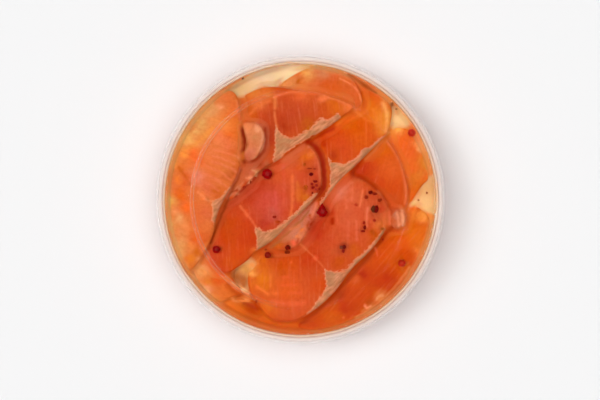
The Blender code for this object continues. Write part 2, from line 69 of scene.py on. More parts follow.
def shade(red, green, blue):
    """A colour as read off a screen, from 0 to 255, in the linear values that a shader takes."""
    parts = [part / 255 for part in (red, green, blue)]
    return tuple(part / 12.92 if part <= 0.04045 else ((part + 0.055) / 1.055) ** 2.4 for part in parts)


def turned(name, profile, ease):
    """Extrudes a profile point by point, spins it once round the tub's axis and eases its corners."""
    bpy.ops.object.select_all(action="DESELECT")
    bpy.ops.mesh.primitive_plane_add(size=MM, location=(0, 0, 0))
    bpy.ops.object.mode_set(mode="EDIT")
    bpy.ops.mesh.select_all(action="SELECT")
    bpy.ops.mesh.merge(type="CENTER")
    bpy.ops.transform.translate(value=(profile[0][0] * MM, 0, profile[0][1] * MM))
    for (radius, height), (next_radius, next_height) in zip(profile, profile[1:]):
        step = ((next_radius - radius) * MM, 0, (next_height - height) * MM)
        bpy.ops.mesh.extrude_region_move(TRANSFORM_OT_translate={"value": step})
    bpy.ops.mesh.select_all(action="SELECT")
    bpy.ops.mesh.spin(steps=TURN_STEPS, angle=math.tau, center=(0, 0, 0), axis=(0, 0, 1))
    bpy.ops.mesh.select_all(action="SELECT")
    bpy.ops.mesh.remove_doubles(threshold=0.000001)
    bpy.ops.mesh.normals_make_consistent(inside=False)
    bpy.ops.object.mode_set(mode="OBJECT")
    made = bpy.context.active_object
    made.name = made.data.name = name
    bpy.ops.object.modifier_add(type="BEVEL")
    bevel = made.modifiers[-1]
    bevel.width = ease * MM
    bevel.segments = 3
    bevel.limit_method = "ANGLE"
    bevel.angle_limit = math.radians(20)
    bevel.harden_normals = True
    bpy.ops.object.shade_smooth()
    bpy.ops.object.modifier_apply(modifier=bevel.name)
    return made


def new_material(name):
    """An empty node material, and its node tree."""
    material = bpy.data.materials.new(name)
    material.use_nodes = True
    material.node_tree.nodes.clear()
    return material, material.node_tree


def fill_in(tree, node, inputs):
    """Gives a node its inputs: numbers, colours, or what other nodes put out."""
    for name, value in inputs.items():
        if isinstance(value, bpy.types.NodeSocket):
            tree.links.new(value, node.inputs[name])
        else:
            node.inputs[name].default_value = value
    return node


def add_node(tree, kind, inputs):
    """A new node of this kind, with these inputs."""
    return fill_in(tree, tree.nodes.new(kind), inputs)


def reckoned(tree, operation, *terms):
    """The result of one sum. Each term is a number or what another node puts out."""
    node = tree.nodes.new("ShaderNodeMath")
    node.operation = operation
    return fill_in(tree, node, dict(enumerate(terms))).outputs[0]


def run_from(tree, value, start, end, low, high, kind="LINEAR"):
    """Runs from low at start to high at end, and stays level beyond them."""
    node = tree.nodes.new("ShaderNodeMapRange")
    node.interpolation_type = kind
    span = {"From Min": start, "From Max": end, "To Min": low, "To Max": high}
    return fill_in(tree, node, {"Value": value, **span}).outputs["Result"]


def ramp(tree, value, stops):
    """The colour that goes with each value, from (value, colour) stops."""
    node = add_node(tree, "ShaderNodeValToRGB", {"Fac": value})
    elements = node.color_ramp.elements
    while len(elements) < len(stops):
        elements.new(0.5)
    for element, (place, colour) in zip(elements, stops):
        element.position = place
        element.color = (*colour, 1)
    return node.outputs["Color"]


def mixed_shader(tree, share, under, over):
    """The shader over, laid on the shader under as far as the share says."""
    node = tree.nodes.new("ShaderNodeMixShader")
    return fill_in(tree, node, {0: share, 1: under.outputs[0], 2: over.outputs[0]})


def finish(tree, shader):
    """Joins the shader to the material's output."""
    add_node(tree, "ShaderNodeOutputMaterial", {"Surface": shader.outputs[0]})


def clear_plastic(name, milk, tints, glints=((0, 0.0), (LID_RADIUS, 0.0))):
    """Thin clear plastic. By radius in millimetres, milk says how milky it is, tints in what colour,
    and glints how much painted highlight it has: milk added on its outer face at the left, where
    the light comes from."""
    material, tree = new_material(name)
    place = tree.nodes.new("ShaderNodeTexCoord")
    parts = add_node(tree, "ShaderNodeSeparateXYZ", {0: place.outputs["Object"]})
    flat = add_node(tree, "ShaderNodeCombineXYZ", {"X": parts.outputs["X"], "Y": parts.outputs["Y"]})
    radius = tree.nodes.new("ShaderNodeVectorMath")
    radius.operation = "LENGTH"
    fill_in(tree, radius, {0: flat.outputs[0]})
    share = reckoned(tree, "DIVIDE", radius.outputs["Value"], LID_RADIUS * MM)

    def by_radius(stops):
        """The colour at each radius. An amount stands for a grey."""
        return ramp(tree, share, [
            (at / LID_RADIUS, value if isinstance(value, tuple) else (value,) * 3) for at, value in stops
        ])

    # Painted highlight: the glints add milk on outer faces towards the left, standing for the light's
    # reflection there.
    side = tree.nodes.new("ShaderNodeNewGeometry")
    outer = reckoned(tree, "SUBTRACT", 1.0, side.outputs["Backfacing"])
    to_light = run_from(tree, parts.outputs["X"], GLINTS_FULL, GLINTS_END, 1.0, 0.02)
    lit = reckoned(tree, "MULTIPLY", to_light, outer)
    milk_and_painted_glint = reckoned(tree, "MULTIPLY_ADD", by_radius(glints), lit, by_radius(milk))
    through = add_node(tree, "ShaderNodeBsdfTransparent", {"Color": (1, 1, 1, 1)})
    body = add_node(tree, "ShaderNodeBsdfPrincipled", {
        "Base Color": by_radius(tints), "Roughness": 0.35, "Specular IOR Level": 0.2,
    })
    milky = mixed_shader(tree, milk_and_painted_glint, through, body)

    # Gloss by angle, held low so that the lid's flat panel doesn't veil the fish.
    angle = add_node(tree, "ShaderNodeFresnel", {"IOR": 1.33})
    most = run_from(tree, share, 0.80, 0.92, PANEL_GLOSS, RIM_GLOSS)
    gloss = add_node(tree, "ShaderNodeBsdfAnisotropic", {"Color": (1, 1, 1, 1), "Roughness": 0.05})
    finish(tree, mixed_shader(tree, reckoned(tree, "MINIMUM", angle.outputs[0], most), milky, gloss))
    return material


PALE_MILK = shade(206, 188, 180)
tub = turned("clear_tub", TUB_PROFILE, 0.15)
tub.data.materials.append(clear_plastic(
    "tub_plastic",
    [(0, 0.02), (47, 0.02), (49.4, 0.05), (50.2, 0.10)],
    [(0, PALE_MILK), (LID_RADIUS, PALE_MILK)],
))
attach(tub, "root")
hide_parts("tub")


# ---- Lower slices ----
# The rest of the fish, packed flat below the slices that show from above. It is cured trout fillet,
# sliced across, so that a slice shows lobes of muscle and a strip of silver skin. It is limp and moist.

SKIN_LEAN = math.radians(40)
CLOUD_TINT = shade(255, 246, 236)
SPECK_TINT = shade(244, 226, 214)
# The tint of the painted shade on steep faces.
STEEP_SHADE = shade(250, 205, 140)
PALE_FIBRE = shade(236, 136, 96)
DARK_FIBRE = shade(186, 56, 24)
SEAM_PALE = shade(242, 142, 88)
# The pale border of the skin: its torn edge, and a painted highlight.
SKIN_EDGE_AND_HIGHLIGHT = shade(234, 150, 108)
SKIN_TAN = shade(200, 128, 92)
SKIN_PALE = shade(222, 154, 116)
SKIN_DARK = shade(166, 104, 66)
SKIN_GREY = shade(182, 130, 92)


def mixed(tree, share, under, over, blend="MIX"):
    """The colour over, laid on the colour under as far as the share says."""
    node = tree.nodes.new("ShaderNodeMix")
    node.data_type = "RGBA"
    node.blend_type = blend
    under, over = ((*colour, 1) if isinstance(colour, tuple) else colour for colour in (under, over))
    return fill_in(tree, node, {"Factor": share, "A": under, "B": over}).outputs["Result"]


def fish_flesh_group():
    """Turns a piece's flesh colour, its distances from skin and seam and how steeply it faces into its
    finish, with painted shade on its steep faces.
    """
    group = bpy.data.node_groups.new("fish_flesh", "ShaderNodeTree")
    for name, kind in (("Flesh", "Color"), ("Place", "Vector"), ("Skin", "Float"), ("Seam", "Float"),
                       ("Lie", "Vector"), ("Up", "Float")):
        group.interface.new_socket(name, in_out="INPUT", socket_type="NodeSocket" + kind)
    for name, kind in (("Color", "Color"), ("Roughness", "Float"), ("Height", "Float")):
        group.interface.new_socket(name, in_out="OUTPUT", socket_type="NodeSocket" + kind)
    given = group.nodes.new("NodeGroupInput").outputs

    def noise(vector, scale, detail):
        inputs = {"Vector": vector, "Scale": scale, "Detail": detail}
        return add_node(group, "ShaderNodeTexNoise", inputs).outputs["Fac"]

    def stretched(vector, turn, scale):
        """The places, in units that are longer one way than the other."""
        node = group.nodes.new("ShaderNodeMapping")
        node.vector_type = "TEXTURE"
        return fill_in(group, node, {"Vector": vector, "Rotation": (0, 0, turn), "Scale": scale}).outputs[0]

    def swung(value, other, factor):
        """The value, moved up or down by the other one, which lies round 0.5."""
        aside = reckoned(group, "MULTIPLY_ADD", other, factor, -0.5 * factor)
        return reckoned(group, "ADD", value, aside)

    def between(value, start, end, low=0.0, high=1.0):
        return run_from(group, value, start, end, low, high, "SMOOTHSTEP")

    def laid(share, under, over, blend="MIX"):
        return mixed(group, share, under, over, blend)

    place = given["Place"]
    broad = noise(place, 170, 1.0)
    cloud = noise(place, 330, 2.0)
    fine = noise(place, 950, 3.0)
    crumb = noise(place, 1900, 2.0)
    grain = noise(stretched(given["Lie"], 0, (9.0, 0.9, 3.0)), 1.0, 2.0)
    ribs = noise(stretched(place, SKIN_LEAN, (3.4 * MM, 0.9 * MM, 2 * MM)), 1.0, 3.0)

    # Flesh: clouded, and faintly drawn out along its fibres.
    clouded = laid(1.0, given["Flesh"], CLOUD_TINT, "MULTIPLY")
    colour = laid(between(broad, 0.30, 0.70), given["Flesh"], clouded)
    colour = laid(between(grain, 0.50, 0.80, 0.0, 0.20), colour, PALE_FIBRE)
    colour = laid(between(grain, 0.48, 0.22, 0.0, 0.14), colour, DARK_FIBRE)
    colour = laid(between(fine, 0.56, 0.36, 0.0, 0.5), colour, laid(1.0, colour, SPECK_TINT, "MULTIPLY"))

    # The pale seam between the lobes, and painted shade on the steep faces at the cut edges, darker and
    # warmer the steeper they stand.
    seam = between(swung(given["Seam"], fine, 0.9), 0.65, 0.15, 0.0, 0.8)
    seam = reckoned(group, "MULTIPLY", seam, between(cloud, 0.30, 0.55, 0.35, 1.0))
    colour = laid(seam, colour, SEAM_PALE)
    steep = between(swung(given["Up"], fine, 0.3), 0.75, 0.25, 0.0, 0.6)
    colour = laid(steep, colour, laid(1.0, colour, STEEP_SHADE, "MULTIPLY"))

    # Skin: silver to tan, ribbed along its length, with a ragged pale border that is partly the skin's
    # torn edge and partly painted highlight.
    depth = swung(swung(swung(given["Skin"], fine, 0.8), cloud, 0.6), crumb, 1.5)
    skin = between(depth, -0.18, 0.12)
    tone = laid(between(ribs, 0.42, 0.66), SKIN_TAN, SKIN_PALE)
    tone = laid(between(swung(ribs, crumb, 0.5), 0.46, 0.30, 0.0, 0.55), tone, SKIN_DARK)
    tone = laid(between(broad, 0.42, 0.60, 0.0, 0.6), tone, SKIN_GREY)
    tone = laid(between(depth, 0.70, 0.15, 0.0, 0.7), tone, SKIN_EDGE_AND_HIGHLIGHT)
    cover = reckoned(group, "MULTIPLY", skin, between(cloud, 0.72, 0.52, 0.75, 1.0))
    add_node(group, "NodeGroupOutput", {
        "Color": laid(cover, colour, tone),
        "Roughness": between(skin, 0.0, 1.0, 0.42, 0.34),
        "Height": laid(skin, laid(seam, grain, (0.2, 0.2, 0.2)), ribs),
    })
    return group


def carried(tree, name, output="Color"):
    """What each piece carries on its mesh under this name."""
    node = tree.nodes.new("ShaderNodeAttribute")
    node.attribute_name = name
    return node.outputs[output]


def moist_body(tree, colour, roughness, specular, depths, scale):
    """A body that light enters. The depths are those of red, green and blue, times the scale."""
    return add_node(tree, "ShaderNodeBsdfPrincipled", {
        "Base Color": colour, "Roughness": roughness, "Specular IOR Level": specular,
        "Subsurface Weight": 1.0, "Subsurface Radius": depths, "Subsurface Scale": scale * MM,
    })


def add_relief(tree, body, height, strength, depth):
    """Fine relief on a body, by its height, of this depth in millimetres."""
    bump = add_node(tree, "ShaderNodeBump", {"Height": height, "Strength": strength, "Distance": depth * MM})
    tree.links.new(bump.outputs["Normal"], body.inputs["Normal"])


def flesh_material(name, group):
    """The finish of the slices, read from what each slice carries on its mesh."""
    material, tree = new_material(name)
    place = tree.nodes.new("ShaderNodeTexCoord")
    facing = tree.nodes.new("ShaderNodeNewGeometry")
    parts = add_node(tree, "ShaderNodeSeparateXYZ", {0: facing.outputs["Normal"]})
    look = tree.nodes.new("ShaderNodeGroup")
    look.node_tree = group
    fill_in(tree, look, {
        "Flesh": carried(tree, "flesh"), "Skin": carried(tree, "skin", "Fac"),
        "Seam": carried(tree, "seam", "Fac"), "Lie": carried(tree, "lie", "Vector"),
        "Place": place.outputs["Object"], "Up": parts.outputs["Z"],
    })
    colour, roughness, height = (look.outputs[output] for output in ("Color", "Roughness", "Height"))
    body = moist_body(tree, colour, roughness, 0.03, (1.0, 0.5, 0.3), 0.6)
    add_relief(tree, body, height, 0.25, 0.15)
    finish(tree, body)
    return material


def fine_copy(node, name, grain, sweeps):
    """A copy of a solid with its triangles merged, its facets rounded and an even close mesh."""
    made = bpy.data.objects.new(name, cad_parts[node].data.copy())
    made.data.name = name
    made.data.materials.clear()
    bpy.context.scene.collection.objects.link(made)
    bpy.ops.object.select_all(action="DESELECT")
    made.select_set(True)
    bpy.context.view_layer.objects.active = made
    bpy.ops.object.mode_set(mode="EDIT")
    bpy.ops.mesh.select_all(action="SELECT")
    bpy.ops.mesh.remove_doubles(threshold=0.00001)
    bpy.ops.object.mode_set(mode="OBJECT")
    for kind in ("SUBSURF", "REMESH", "SMOOTH", "DISPLACE"):
        bpy.ops.object.modifier_add(type=kind)
        modifier = made.modifiers[-1]
        if kind == "SUBSURF":
            modifier.levels = modifier.render_levels = 2
        elif kind == "REMESH":
            modifier.mode = "VOXEL"
            modifier.voxel_size = grain * MM
        elif kind == "SMOOTH":
            modifier.factor = 0.5
            modifier.iterations = sweeps
        else:
            modifier.mid_level = 0
            modifier.strength = 0.6 * grain * MM
        bpy.ops.object.modifier_apply(modifier=modifier.name)
    bpy.ops.object.shade_smooth()
    return made


def corners_of(piece):
    """The places of a piece's vertices, as rows, in millimetres."""
    places = np.empty(len(piece.data.vertices) * 3)
    piece.data.vertices.foreach_get("co", places)
    return places.reshape(-1, 3) / MM


def move_corners(piece, places):
    """Puts a piece's vertices at these places, in millimetres."""
    piece.data.vertices.foreach_set("co", (places * MM).ravel())
    piece.data.update()


def carry(piece, name, kind, values):
    """Stores one value for each vertex on the piece's mesh."""
    attribute = piece.data.attributes.new(name, kind, "POINT")
    field = {"FLOAT": "value", "FLOAT_COLOR": "color", "FLOAT_VECTOR": "vector"}[kind]
    attribute.data.foreach_set(field, np.ascontiguousarray(values, dtype=np.float32).ravel())


def carry_colour(piece, colour):
    """Stores the colour painted for each vertex, any painted shade and light included."""
    carry(piece, "flesh", "FLOAT_COLOR", np.column_stack([colour, np.ones(len(colour))]))


def eased(line, closed):
    """The line with its corners cut twice, so that it bends smoothly."""
    line = np.array(line, float)
    for _ in range(2):
        ahead = np.roll(line, -1, axis=0) if closed else line[1:]
        start = line if closed else line[:-1]
        cut = np.stack([0.75 * start + 0.25 * ahead, 0.25 * start + 0.75 * ahead], axis=1).reshape(-1, 2)
        line = cut if closed else np.vstack([line[:1], cut, line[-1:]])
    return line


FAR_AWAY = 20.0


def from_place(flat, place):
    """How far each place is from this one, in millimetres."""
    return np.hypot(*(flat - np.array(place)).T)


def from_lines(flat, lines, closed=False):
    """How far each place is from the nearest of the lines, in millimetres."""
    nearest = np.full(len(flat), FAR_AWAY)
    for line in lines:
        line = eased(line, closed)
        ends = np.roll(line, -1, axis=0) if closed else line[1:]
        for a, b in zip(line, ends):
            run = b - a
            share = np.clip(((flat - a) @ run) / max(run @ run, 1e-9), 0, 1)
            nearest = np.minimum(nearest, np.hypot(*(flat - a - share[:, None] * run).T))
    return nearest


def into_areas(flat, areas):
    """How far each place is inside the closed areas, or minus its distance outside."""
    inside = np.zeros(len(flat), dtype=bool)
    for area in areas:
        line = eased(area, True)
        for (ax, ay), (bx, by) in zip(line, np.roll(line, -1, axis=0)):
            if ay != by:
                crosses = (ay > flat[:, 1]) != (by > flat[:, 1])
                inside ^= crosses & (flat[:, 0] < ax + (flat[:, 1] - ay) * (bx - ax) / (by - ay))
    away = from_lines(flat, areas, True)
    return np.where(inside, away, -away)


def swayed(flat, reach, width):
    """The places, each moved aside by about the reach, in a way that changes over about the width."""
    draw = np.random.default_rng(3)
    moved = flat.copy()
    for _ in range(7):
        way, aside, phase = draw.normal(size=2) / width, draw.normal(size=2), draw.uniform(0, math.tau)
        moved += 0.4 * reach * aside * np.sin(flat @ way + phase)[:, None]
    return moved


def painted(colour, away, width, tint, strength):
    """The colours, with the tint laid over them where the distance away is less than about the width."""
    share = strength * np.exp(-(away / width) ** 2)[:, None]
    return colour * (1 - share) + np.array(tint) * share


# The lid and the oil lay a faint veil over each colour and take some contrast from it.
VEIL = np.array([0.0, 0.010, 0.013])
CLEARED = np.array([1.0, 1.22, 1.30])


def cleared(colour):
    """The colour that looks as this one does once it lies under the oil and the lid."""
    return np.clip(colour * CLEARED - VEIL, 0.002, 1)


# The chips of crushed pepper that lie on the slices: place, width and depth as seen from above, and
# colour. Each has stained the flesh round it.
CHIPS = [
    ((1.4, 12.5), 0.9, 1.1, (176, 76, 16)), ((3.2, 11), 1.8, 0.6, (156, 48, 16)),
    ((5.1, 10.9), 1.1, 0.6, (160, 50, 20)), ((3.8, 9), 1.4, 1.1, (100, 8, 6)),
    ((5.3, 6.4), 1.7, 0.9, (124, 14, 6)), ((4.1, 5.5), 1.1, 0.9, (146, 28, 14)),
    ((4.4, 4.2), 1.2, 1.0, (140, 24, 12)), ((5.7, 5), 1.1, 0.9, (150, 34, 22)),
    ((6.7, 3.8), 0.7, 0.8, (146, 34, 20)), ((4.3, 2.3), 0.8, 0.8, (130, 34, 10)),
    ((5.6, 3.5), 0.9, 0.8, (166, 48, 34)), ((1.8, 4.2), 1.5, 1.6, (176, 74, 16)),
    ((-9.3, -6.3), 1.3, 1.0, (146, 28, 10)), ((-8.2, -8.1), 1.8, 1.0, (180, 60, 18)),
    ((-4.5, -17.3), 1.8, 1.9, (110, 10, 0)), ((-4.7, -18.8), 1.9, 1.6, (122, 34, 6)),
    ((25.1, 2.5), 1.5, 1.3, (104, 14, 4)), ((26.6, 2), 1.8, 1.1, (142, 32, 8)),
    ((23.6, 0.8), 1.4, 1.3, (150, 40, 12)), ((28.4, -0.3), 1.5, 1.2, (142, 40, 8)),
    ((26.1, -3.5), 1.5, 2.5, (92, 38, 14)), ((27.1, -3.5), 1.6, 2.6, (108, 8, 2)),
    ((26.5, -7.6), 1.1, 0.9, (166, 42, 26)), ((22.7, -8.4), 0.9, 1.2, (156, 34, 14)),
    ((23, -10.1), 1.2, 1.6, (116, 12, 2)), ((22.4, -11.4), 1.5, 0.9, (138, 26, 6)),
    ((29.4, -10.7), 1.2, 1.0, (166, 82, 28)), ((19.9, -2), 1.0, 1.0, (188, 58, 30)),
    ((15.6, -17), 1.5, 1.3, (110, 22, 12)), ((14.7, -17.2), 1.4, 1.2, (120, 54, 34)),
    ((15.3, -18.5), 1.0, 1.5, (140, 32, 20)), ((-20.8, 43.5), 0.7, 0.7, (60, 20, 20)),
    ((-15.8, -36.8), 0.9, 1.2, (164, 52, 6)), ((-12.6, -18.2), 1.0, 0.7, (150, 50, 14)),
    ((33, 34.2), 1.0, 1.3, (150, 84, 44)), ((34.6, 32.6), 0.9, 0.8, (170, 104, 60)),
    ((45.7, 2.3), 0.7, 0.8, (160, 90, 50)), ((42.7, -0.3), 0.7, 0.7, (170, 100, 50)),
    ((29.7, -14.5), 0.6, 0.7, (140, 30, 10)), ((-18, 6.2), 0.6, 1.2, (136, 42, 16)),
    ((-20.3, 4.4), 1.1, 1.0, (156, 44, 18)), ((-16.5, 7.8), 1.3, 0.7, (164, 50, 16)),
]
STAIN = shade(178, 60, 34)

STAIN_REACH = 0.8
STAIN_STRENGTH = 0.5
STROKE_STRENGTH = 0.66

# How far the edge of each kind of marking wanders, and over what width.
RAGGED = (0.16, 0.7)
TOOTHED = (0.40, 0.42)
LOOSE = (1.1, 1.6)

# Along the wall the flesh is painted paler, partly for the cloudy oil there and partly as painted
# light, most at the top of the picture and least at its lower edge.
WALL_START = 46.2
LOWER_EDGE = -46
OIL_AND_LIGHT_AT_WALL = shade(234, 166, 110)

SKIN_RISE = 0.14
SEAM_DIP = 0.12
FLESH = flesh_material("trout_flesh", fish_flesh_group())

# The finished slices, and their strokes, painted shadows among them, which show through the film of
# oil as well.
slices = []
marks = []


def cut_slice(node, name, flesh, patches=(), strokes=(), skin=None, seam=None, heading=90,
              grain=0.35):
    """One slice, laid where its solid is. The patches are (place, reach, colour), the strokes are
    (line, width, colour), skin is the outline of its strip of skin, and the heading is the way that its
    fibres run, in degrees. Places are in millimetres, seen from above. Colours are as read off a screen.
    Some patches and strokes are painted shadows, where one slice shades the one below it, and one
    stroke is painted light that offsets such a shade."""
    piece = fine_copy(node, name, grain, 6)
    places = corners_of(piece)
    flat = places[:, :2]
    ragged = swayed(flat, *RAGGED)
    toothed = swayed(flat, *TOOTHED)
    loose = swayed(flat, *LOOSE)

    colour = np.tile(shade(*flesh), (len(flat), 1))
    for place, reach, tint in patches:
        colour = painted(colour, from_place(loose, place), reach, shade(*tint), 1)
    for place, width, depth, _ in CHIPS:
        reach = STAIN_REACH * max(width, depth)
        colour = painted(colour, from_place(loose, place), reach, STAIN, STAIN_STRENGTH)
    for line, width, tint in strokes:
        colour = painted(colour, from_lines(ragged, [line]), width, shade(*tint), STROKE_STRENGTH)
        marks.append((line, width, cleared(np.array(shade(*tint)))))
    # Painted paler along the wall, partly for the oil there and partly as painted light.
    near_wall = np.clip((np.hypot(*flat.T) - WALL_START) / 1.8, 0, 1)
    wall = ((0.62 - 0.42 * np.clip(flat[:, 1] / LOWER_EDGE, 0, 1) ** 2) * near_wall)[:, None]
    colour = cleared(colour * (1 - wall) + np.array(OIL_AND_LIGHT_AT_WALL) * wall)

    turn = math.radians(heading)
    along = flat @ np.array([math.cos(turn), math.sin(turn)])
    across = flat @ np.array([-math.sin(turn), math.cos(turn)])
    skin_depth = into_areas(toothed, [skin] if skin else [])
    seam_away = from_lines(flat, [seam] if seam else [])
    carry_colour(piece, colour)
    carry(piece, "lie", "FLOAT_VECTOR", np.column_stack([along, across, places[:, 2]]))
    carry(piece, "skin", "FLOAT", skin_depth)
    carry(piece, "seam", "FLOAT", seam_away)
    places[:, 2] += SKIN_RISE * np.clip(skin_depth / 0.6, 0, 1) - SEAM_DIP * np.exp(-(seam_away / 0.5) ** 2)
    move_corners(piece, places)
    piece.data.materials.append(FLESH)
    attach(piece, "root")
    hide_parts(node)
    slices.append(piece)


cut_slice("fish_heap", "packed_slices", (240, 122, 50), grain=0.6)


# ---- Slices at the rim ----
# Slices tucked down between the upper ones and the wall, where they are painted paler, partly for
# the oil and partly as painted light. Only an edge or a part of each shows.

cut_slice(
    "slice_rim_top", "rim_slice_top", (222, 100, 50),
    patches=[
        ((-4.5, 41.3), 5, (226, 138, 84)), ((-7.4, 38.8), 2.2, (238, 154, 100)),
        ((2.3, 45.6), 2.4, (240, 164, 92)), ((-0.5, 42.8), 1.2, (200, 92, 24)),
        ((1.3, 41.3), 1.3, (236, 122, 60)), ((7.7, 45.6), 3.5, (218, 132, 90)),
        ((16, 41.3), 4, (220, 104, 48)), ((10.6, 39.2), 4, (220, 92, 36)), ((24.2, 39.9), 3, (206, 92, 42)),
    ],
    strokes=[
        ([(17.4, 44.9), (20.6, 43.1), (23.8, 40.6), (27.1, 38.1)], 0.6, (170, 76, 30)),
        ([(22.1, 38.5), (22.8, 36), (22.8, 33.5)], 0.5, (206, 78, 24)),
    ],
    seam=[(14.2, 43.5), (17.8, 41.7), (20.3, 39.6), (21.7, 36.7), (22.1, 33.8)],
    heading=80,
)

cut_slice(
    "slice_inner_right", "inner_slice_right", (214, 80, 28),
    patches=[
        ((20.6, 9.8), 6, (188, 50, 34)), ((26.7, -0.3), 5, (206, 68, 28)), ((32.8, 11.2), 5, (224, 96, 42)),
        ((34.2, -0.3), 3, (208, 84, 40)), ((30.3, 17.7), 4, (222, 98, 30)),
    ],
    strokes=[
        # Painted shadow along the lower slice's upper edge.
        ([(19.9, 9.1), (23.5, 7.3), (26.7, 4.8), (29.2, 1.9), (31, -1.7),
          (32.5, -5.6)], 0.7, (188, 58, 22)),
        ([(31.4, 20.9), (34.2, 17), (36.4, 12.3), (37.5, 6.9), (38.2, 1.5),
          (37.8, -1.7)], 0.55, (238, 130, 84)),
        ([(30.7, 23.1), (28.2, 19.5), (25.3, 16.2), (23.5, 14.5)], 0.6, (218, 112, 60)),
    ],
    heading=75,
)

cut_slice(
    "slice_rim_right", "rim_slice_right", (232, 104, 38),
    patches=[
        ((35, 25.9), 1.9, (250, 178, 92)), ((45.4, 14.1), 4, (222, 126, 42)),
        ((40, 5.1), 4, (218, 104, 34)), ((42.5, 19.5), 1.6, (242, 144, 84)),
        ((39.3, 15.9), 3, (230, 100, 40)), ((42.9, 18.4), 0.8, (250, 168, 110)),
        ((43.2, 8.4), 2.5, (226, 122, 46)),
    ],
    heading=70,
)

cut_slice(
    "slice_rim_left", "rim_slice_left", (226, 112, 56),
    patches=[
        ((-36.4, -26.1), 3, (234, 156, 100)), ((-34.6, -24.6), 2.8, (254, 162, 102)),
        ((-32.5, -23.2), 1.6, (226, 118, 82)), ((-29.6, -28.6), 3, (230, 98, 40)),
        ((-33.2, -30), 2, (228, 128, 48)), ((-33.9, -33.2), 2.4, (246, 160, 116)),
        ((-30.3, -36.1), 3, (230, 132, 66)), ((-26.7, -33.6), 3, (230, 118, 54)),
        ((-26.7, -25.4), 1.8, (240, 120, 54)), ((-28.2, -25.4), 1.6, (238, 104, 60)),
    ],
    strokes=[
        ([(-24.9, -30), (-22.8, -31.3), (-21, -32.5), (-18.8, -34)], 0.6, (255, 176, 124)),
        ([(-39.3, -21), (-37.1, -23.6), (-35, -26.4)], 0.9, (244, 150, 92)),
        ([(-26, -30.7), (-24.9, -32.9), (-22.1, -34.3)], 1.1, (188, 68, 18)),
    ],
    heading=130,
)

cut_slice(
    "slice_tuck", "tucked_slice", (196, 84, 24),
    patches=[
        ((-24.2, -32.5), 2, (188, 70, 20)), ((-19.5, -35.4), 1.6, (206, 98, 44)),
    ],
    strokes=[
        ([(-27.4, -33.6), (-26, -34.9), (-24.7, -35), (-24.2, -36.8), (-22.4, -36.8),
          (-18.8, -36.8)], 0.6, (250, 152, 88)),
        ([(-24.9, -30), (-22.8, -31.3), (-21, -32.5), (-18.8, -34)], 0.6, (255, 176, 124)),
    ],
    heading=0,
)

cut_slice(
    "slice_rim_lower", "rim_slice_lower", (208, 76, 14),
    patches=[
        # The dark spots at (13.1, -34.7) and (22.1, -27.1) are painted shade below the lower slice's strip of
        # skin.
        ((13.1, -34.7), 3.2, (164, 48, 10)), ((22.1, -27.1), 3, (188, 54, 16)),
        ((19.5, -29.3), 1.8, (216, 92, 46)), ((27.8, -31.4), 2.4, (204, 76, 26)),
        ((32.1, -21.8), 5, (222, 88, 26)), ((37.1, -13.9), 4.5, (226, 92, 24)),
        ((42.9, -13.2), 5, (230, 114, 30)), ((30.7, -28.9), 4, (198, 62, 18)),
        ((12, -42.6), 4, (214, 92, 22)), ((28.9, -35), 1.8, (226, 128, 72)),
        ((25.6, -37.9), 2.0, (190, 76, 24)), ((23.5, -39), 0.6, (244, 124, 80)),
        ((15.6, -43.3), 0.5, (240, 126, 76)), ((38.5, -26.4), 3, (216, 90, 24)),
        ((18.5, -38.3), 3, (202, 72, 20)), ((42.5, -19.3), 2.4, (236, 124, 52)),
        ((44.3, -5.6), 2.4, (250, 154, 74)), ((39.6, -4.6), 2.8, (242, 130, 56)),
        ((34.2, -22.5), 2, (212, 84, 24)), ((16, -39), 2, (196, 60, 14)),
    ],
    strokes=[
        # Painted shadow along the lower slice's strip of skin.
        ([(33.2, -9.9), (30.7, -12.4), (28.9, -15), (26.7, -17.8), (24.6, -21), (21.7, -23.9),
          (18.5, -27.5), (15.2, -31.1), (12, -34.7), (8.8, -37.9), (4.5, -41.5),
          (0.2, -44.7)], 0.75, (174, 58, 16)),
        ([(26.9, -17.5), (27.6, -18.5), (27.8, -20.3)], 0.4, (232, 104, 66)),
        ([(30.3, -33.2), (28.2, -35.4), (25.3, -38.3), (22.1, -40.4)], 0.55, (224, 120, 64)),
        ([(23.1, -38.3), (23.8, -39.3), (25.3, -38.6)], 0.4, (255, 166, 122)),
        ([(19.9, -42.6), (23.8, -40.4), (28.2, -37.2), (32.5, -33.2), (36.4, -28.6),
          (39.3, -24.3)], 0.4, (230, 136, 80)),
        ([(27.4, -36.1), (28.2, -34.7), (29.6, -34.7)], 0.45, (240, 160, 112)),
    ],
    heading=50,
)

cut_slice(
    "slice_rim_bottom", "rim_slice_bottom", (214, 92, 18),
    patches=[
        # The dark spots at (-18.1, -38.6) and (-15.2, -39.7) are painted shadow beside the lower slice's
        # edge.
        ((-23.8, -40.4), 5, (236, 112, 14)), ((-18.1, -38.6), 2.6, (176, 60, 8)),
        ((-15.2, -39.7), 1.6, (180, 62, 10)), ((-5.6, -45.1), 4, (210, 90, 22)),
        ((-21.7, -38.3), 2, (220, 104, 24)),
    ],
    strokes=[
        # Painted shadow beside the lower slice's edge.
        ([(-20.6, -37.9), (-18.1, -38.6), (-15.6, -39.7)], 0.7, (178, 60, 8)),
    ],
    heading=10,
)


# ---- Lower large slice ----
# The lowest of the five large slices, cut across the fillet. It has its wedge of skin at the right
# and its belly lobe in front.

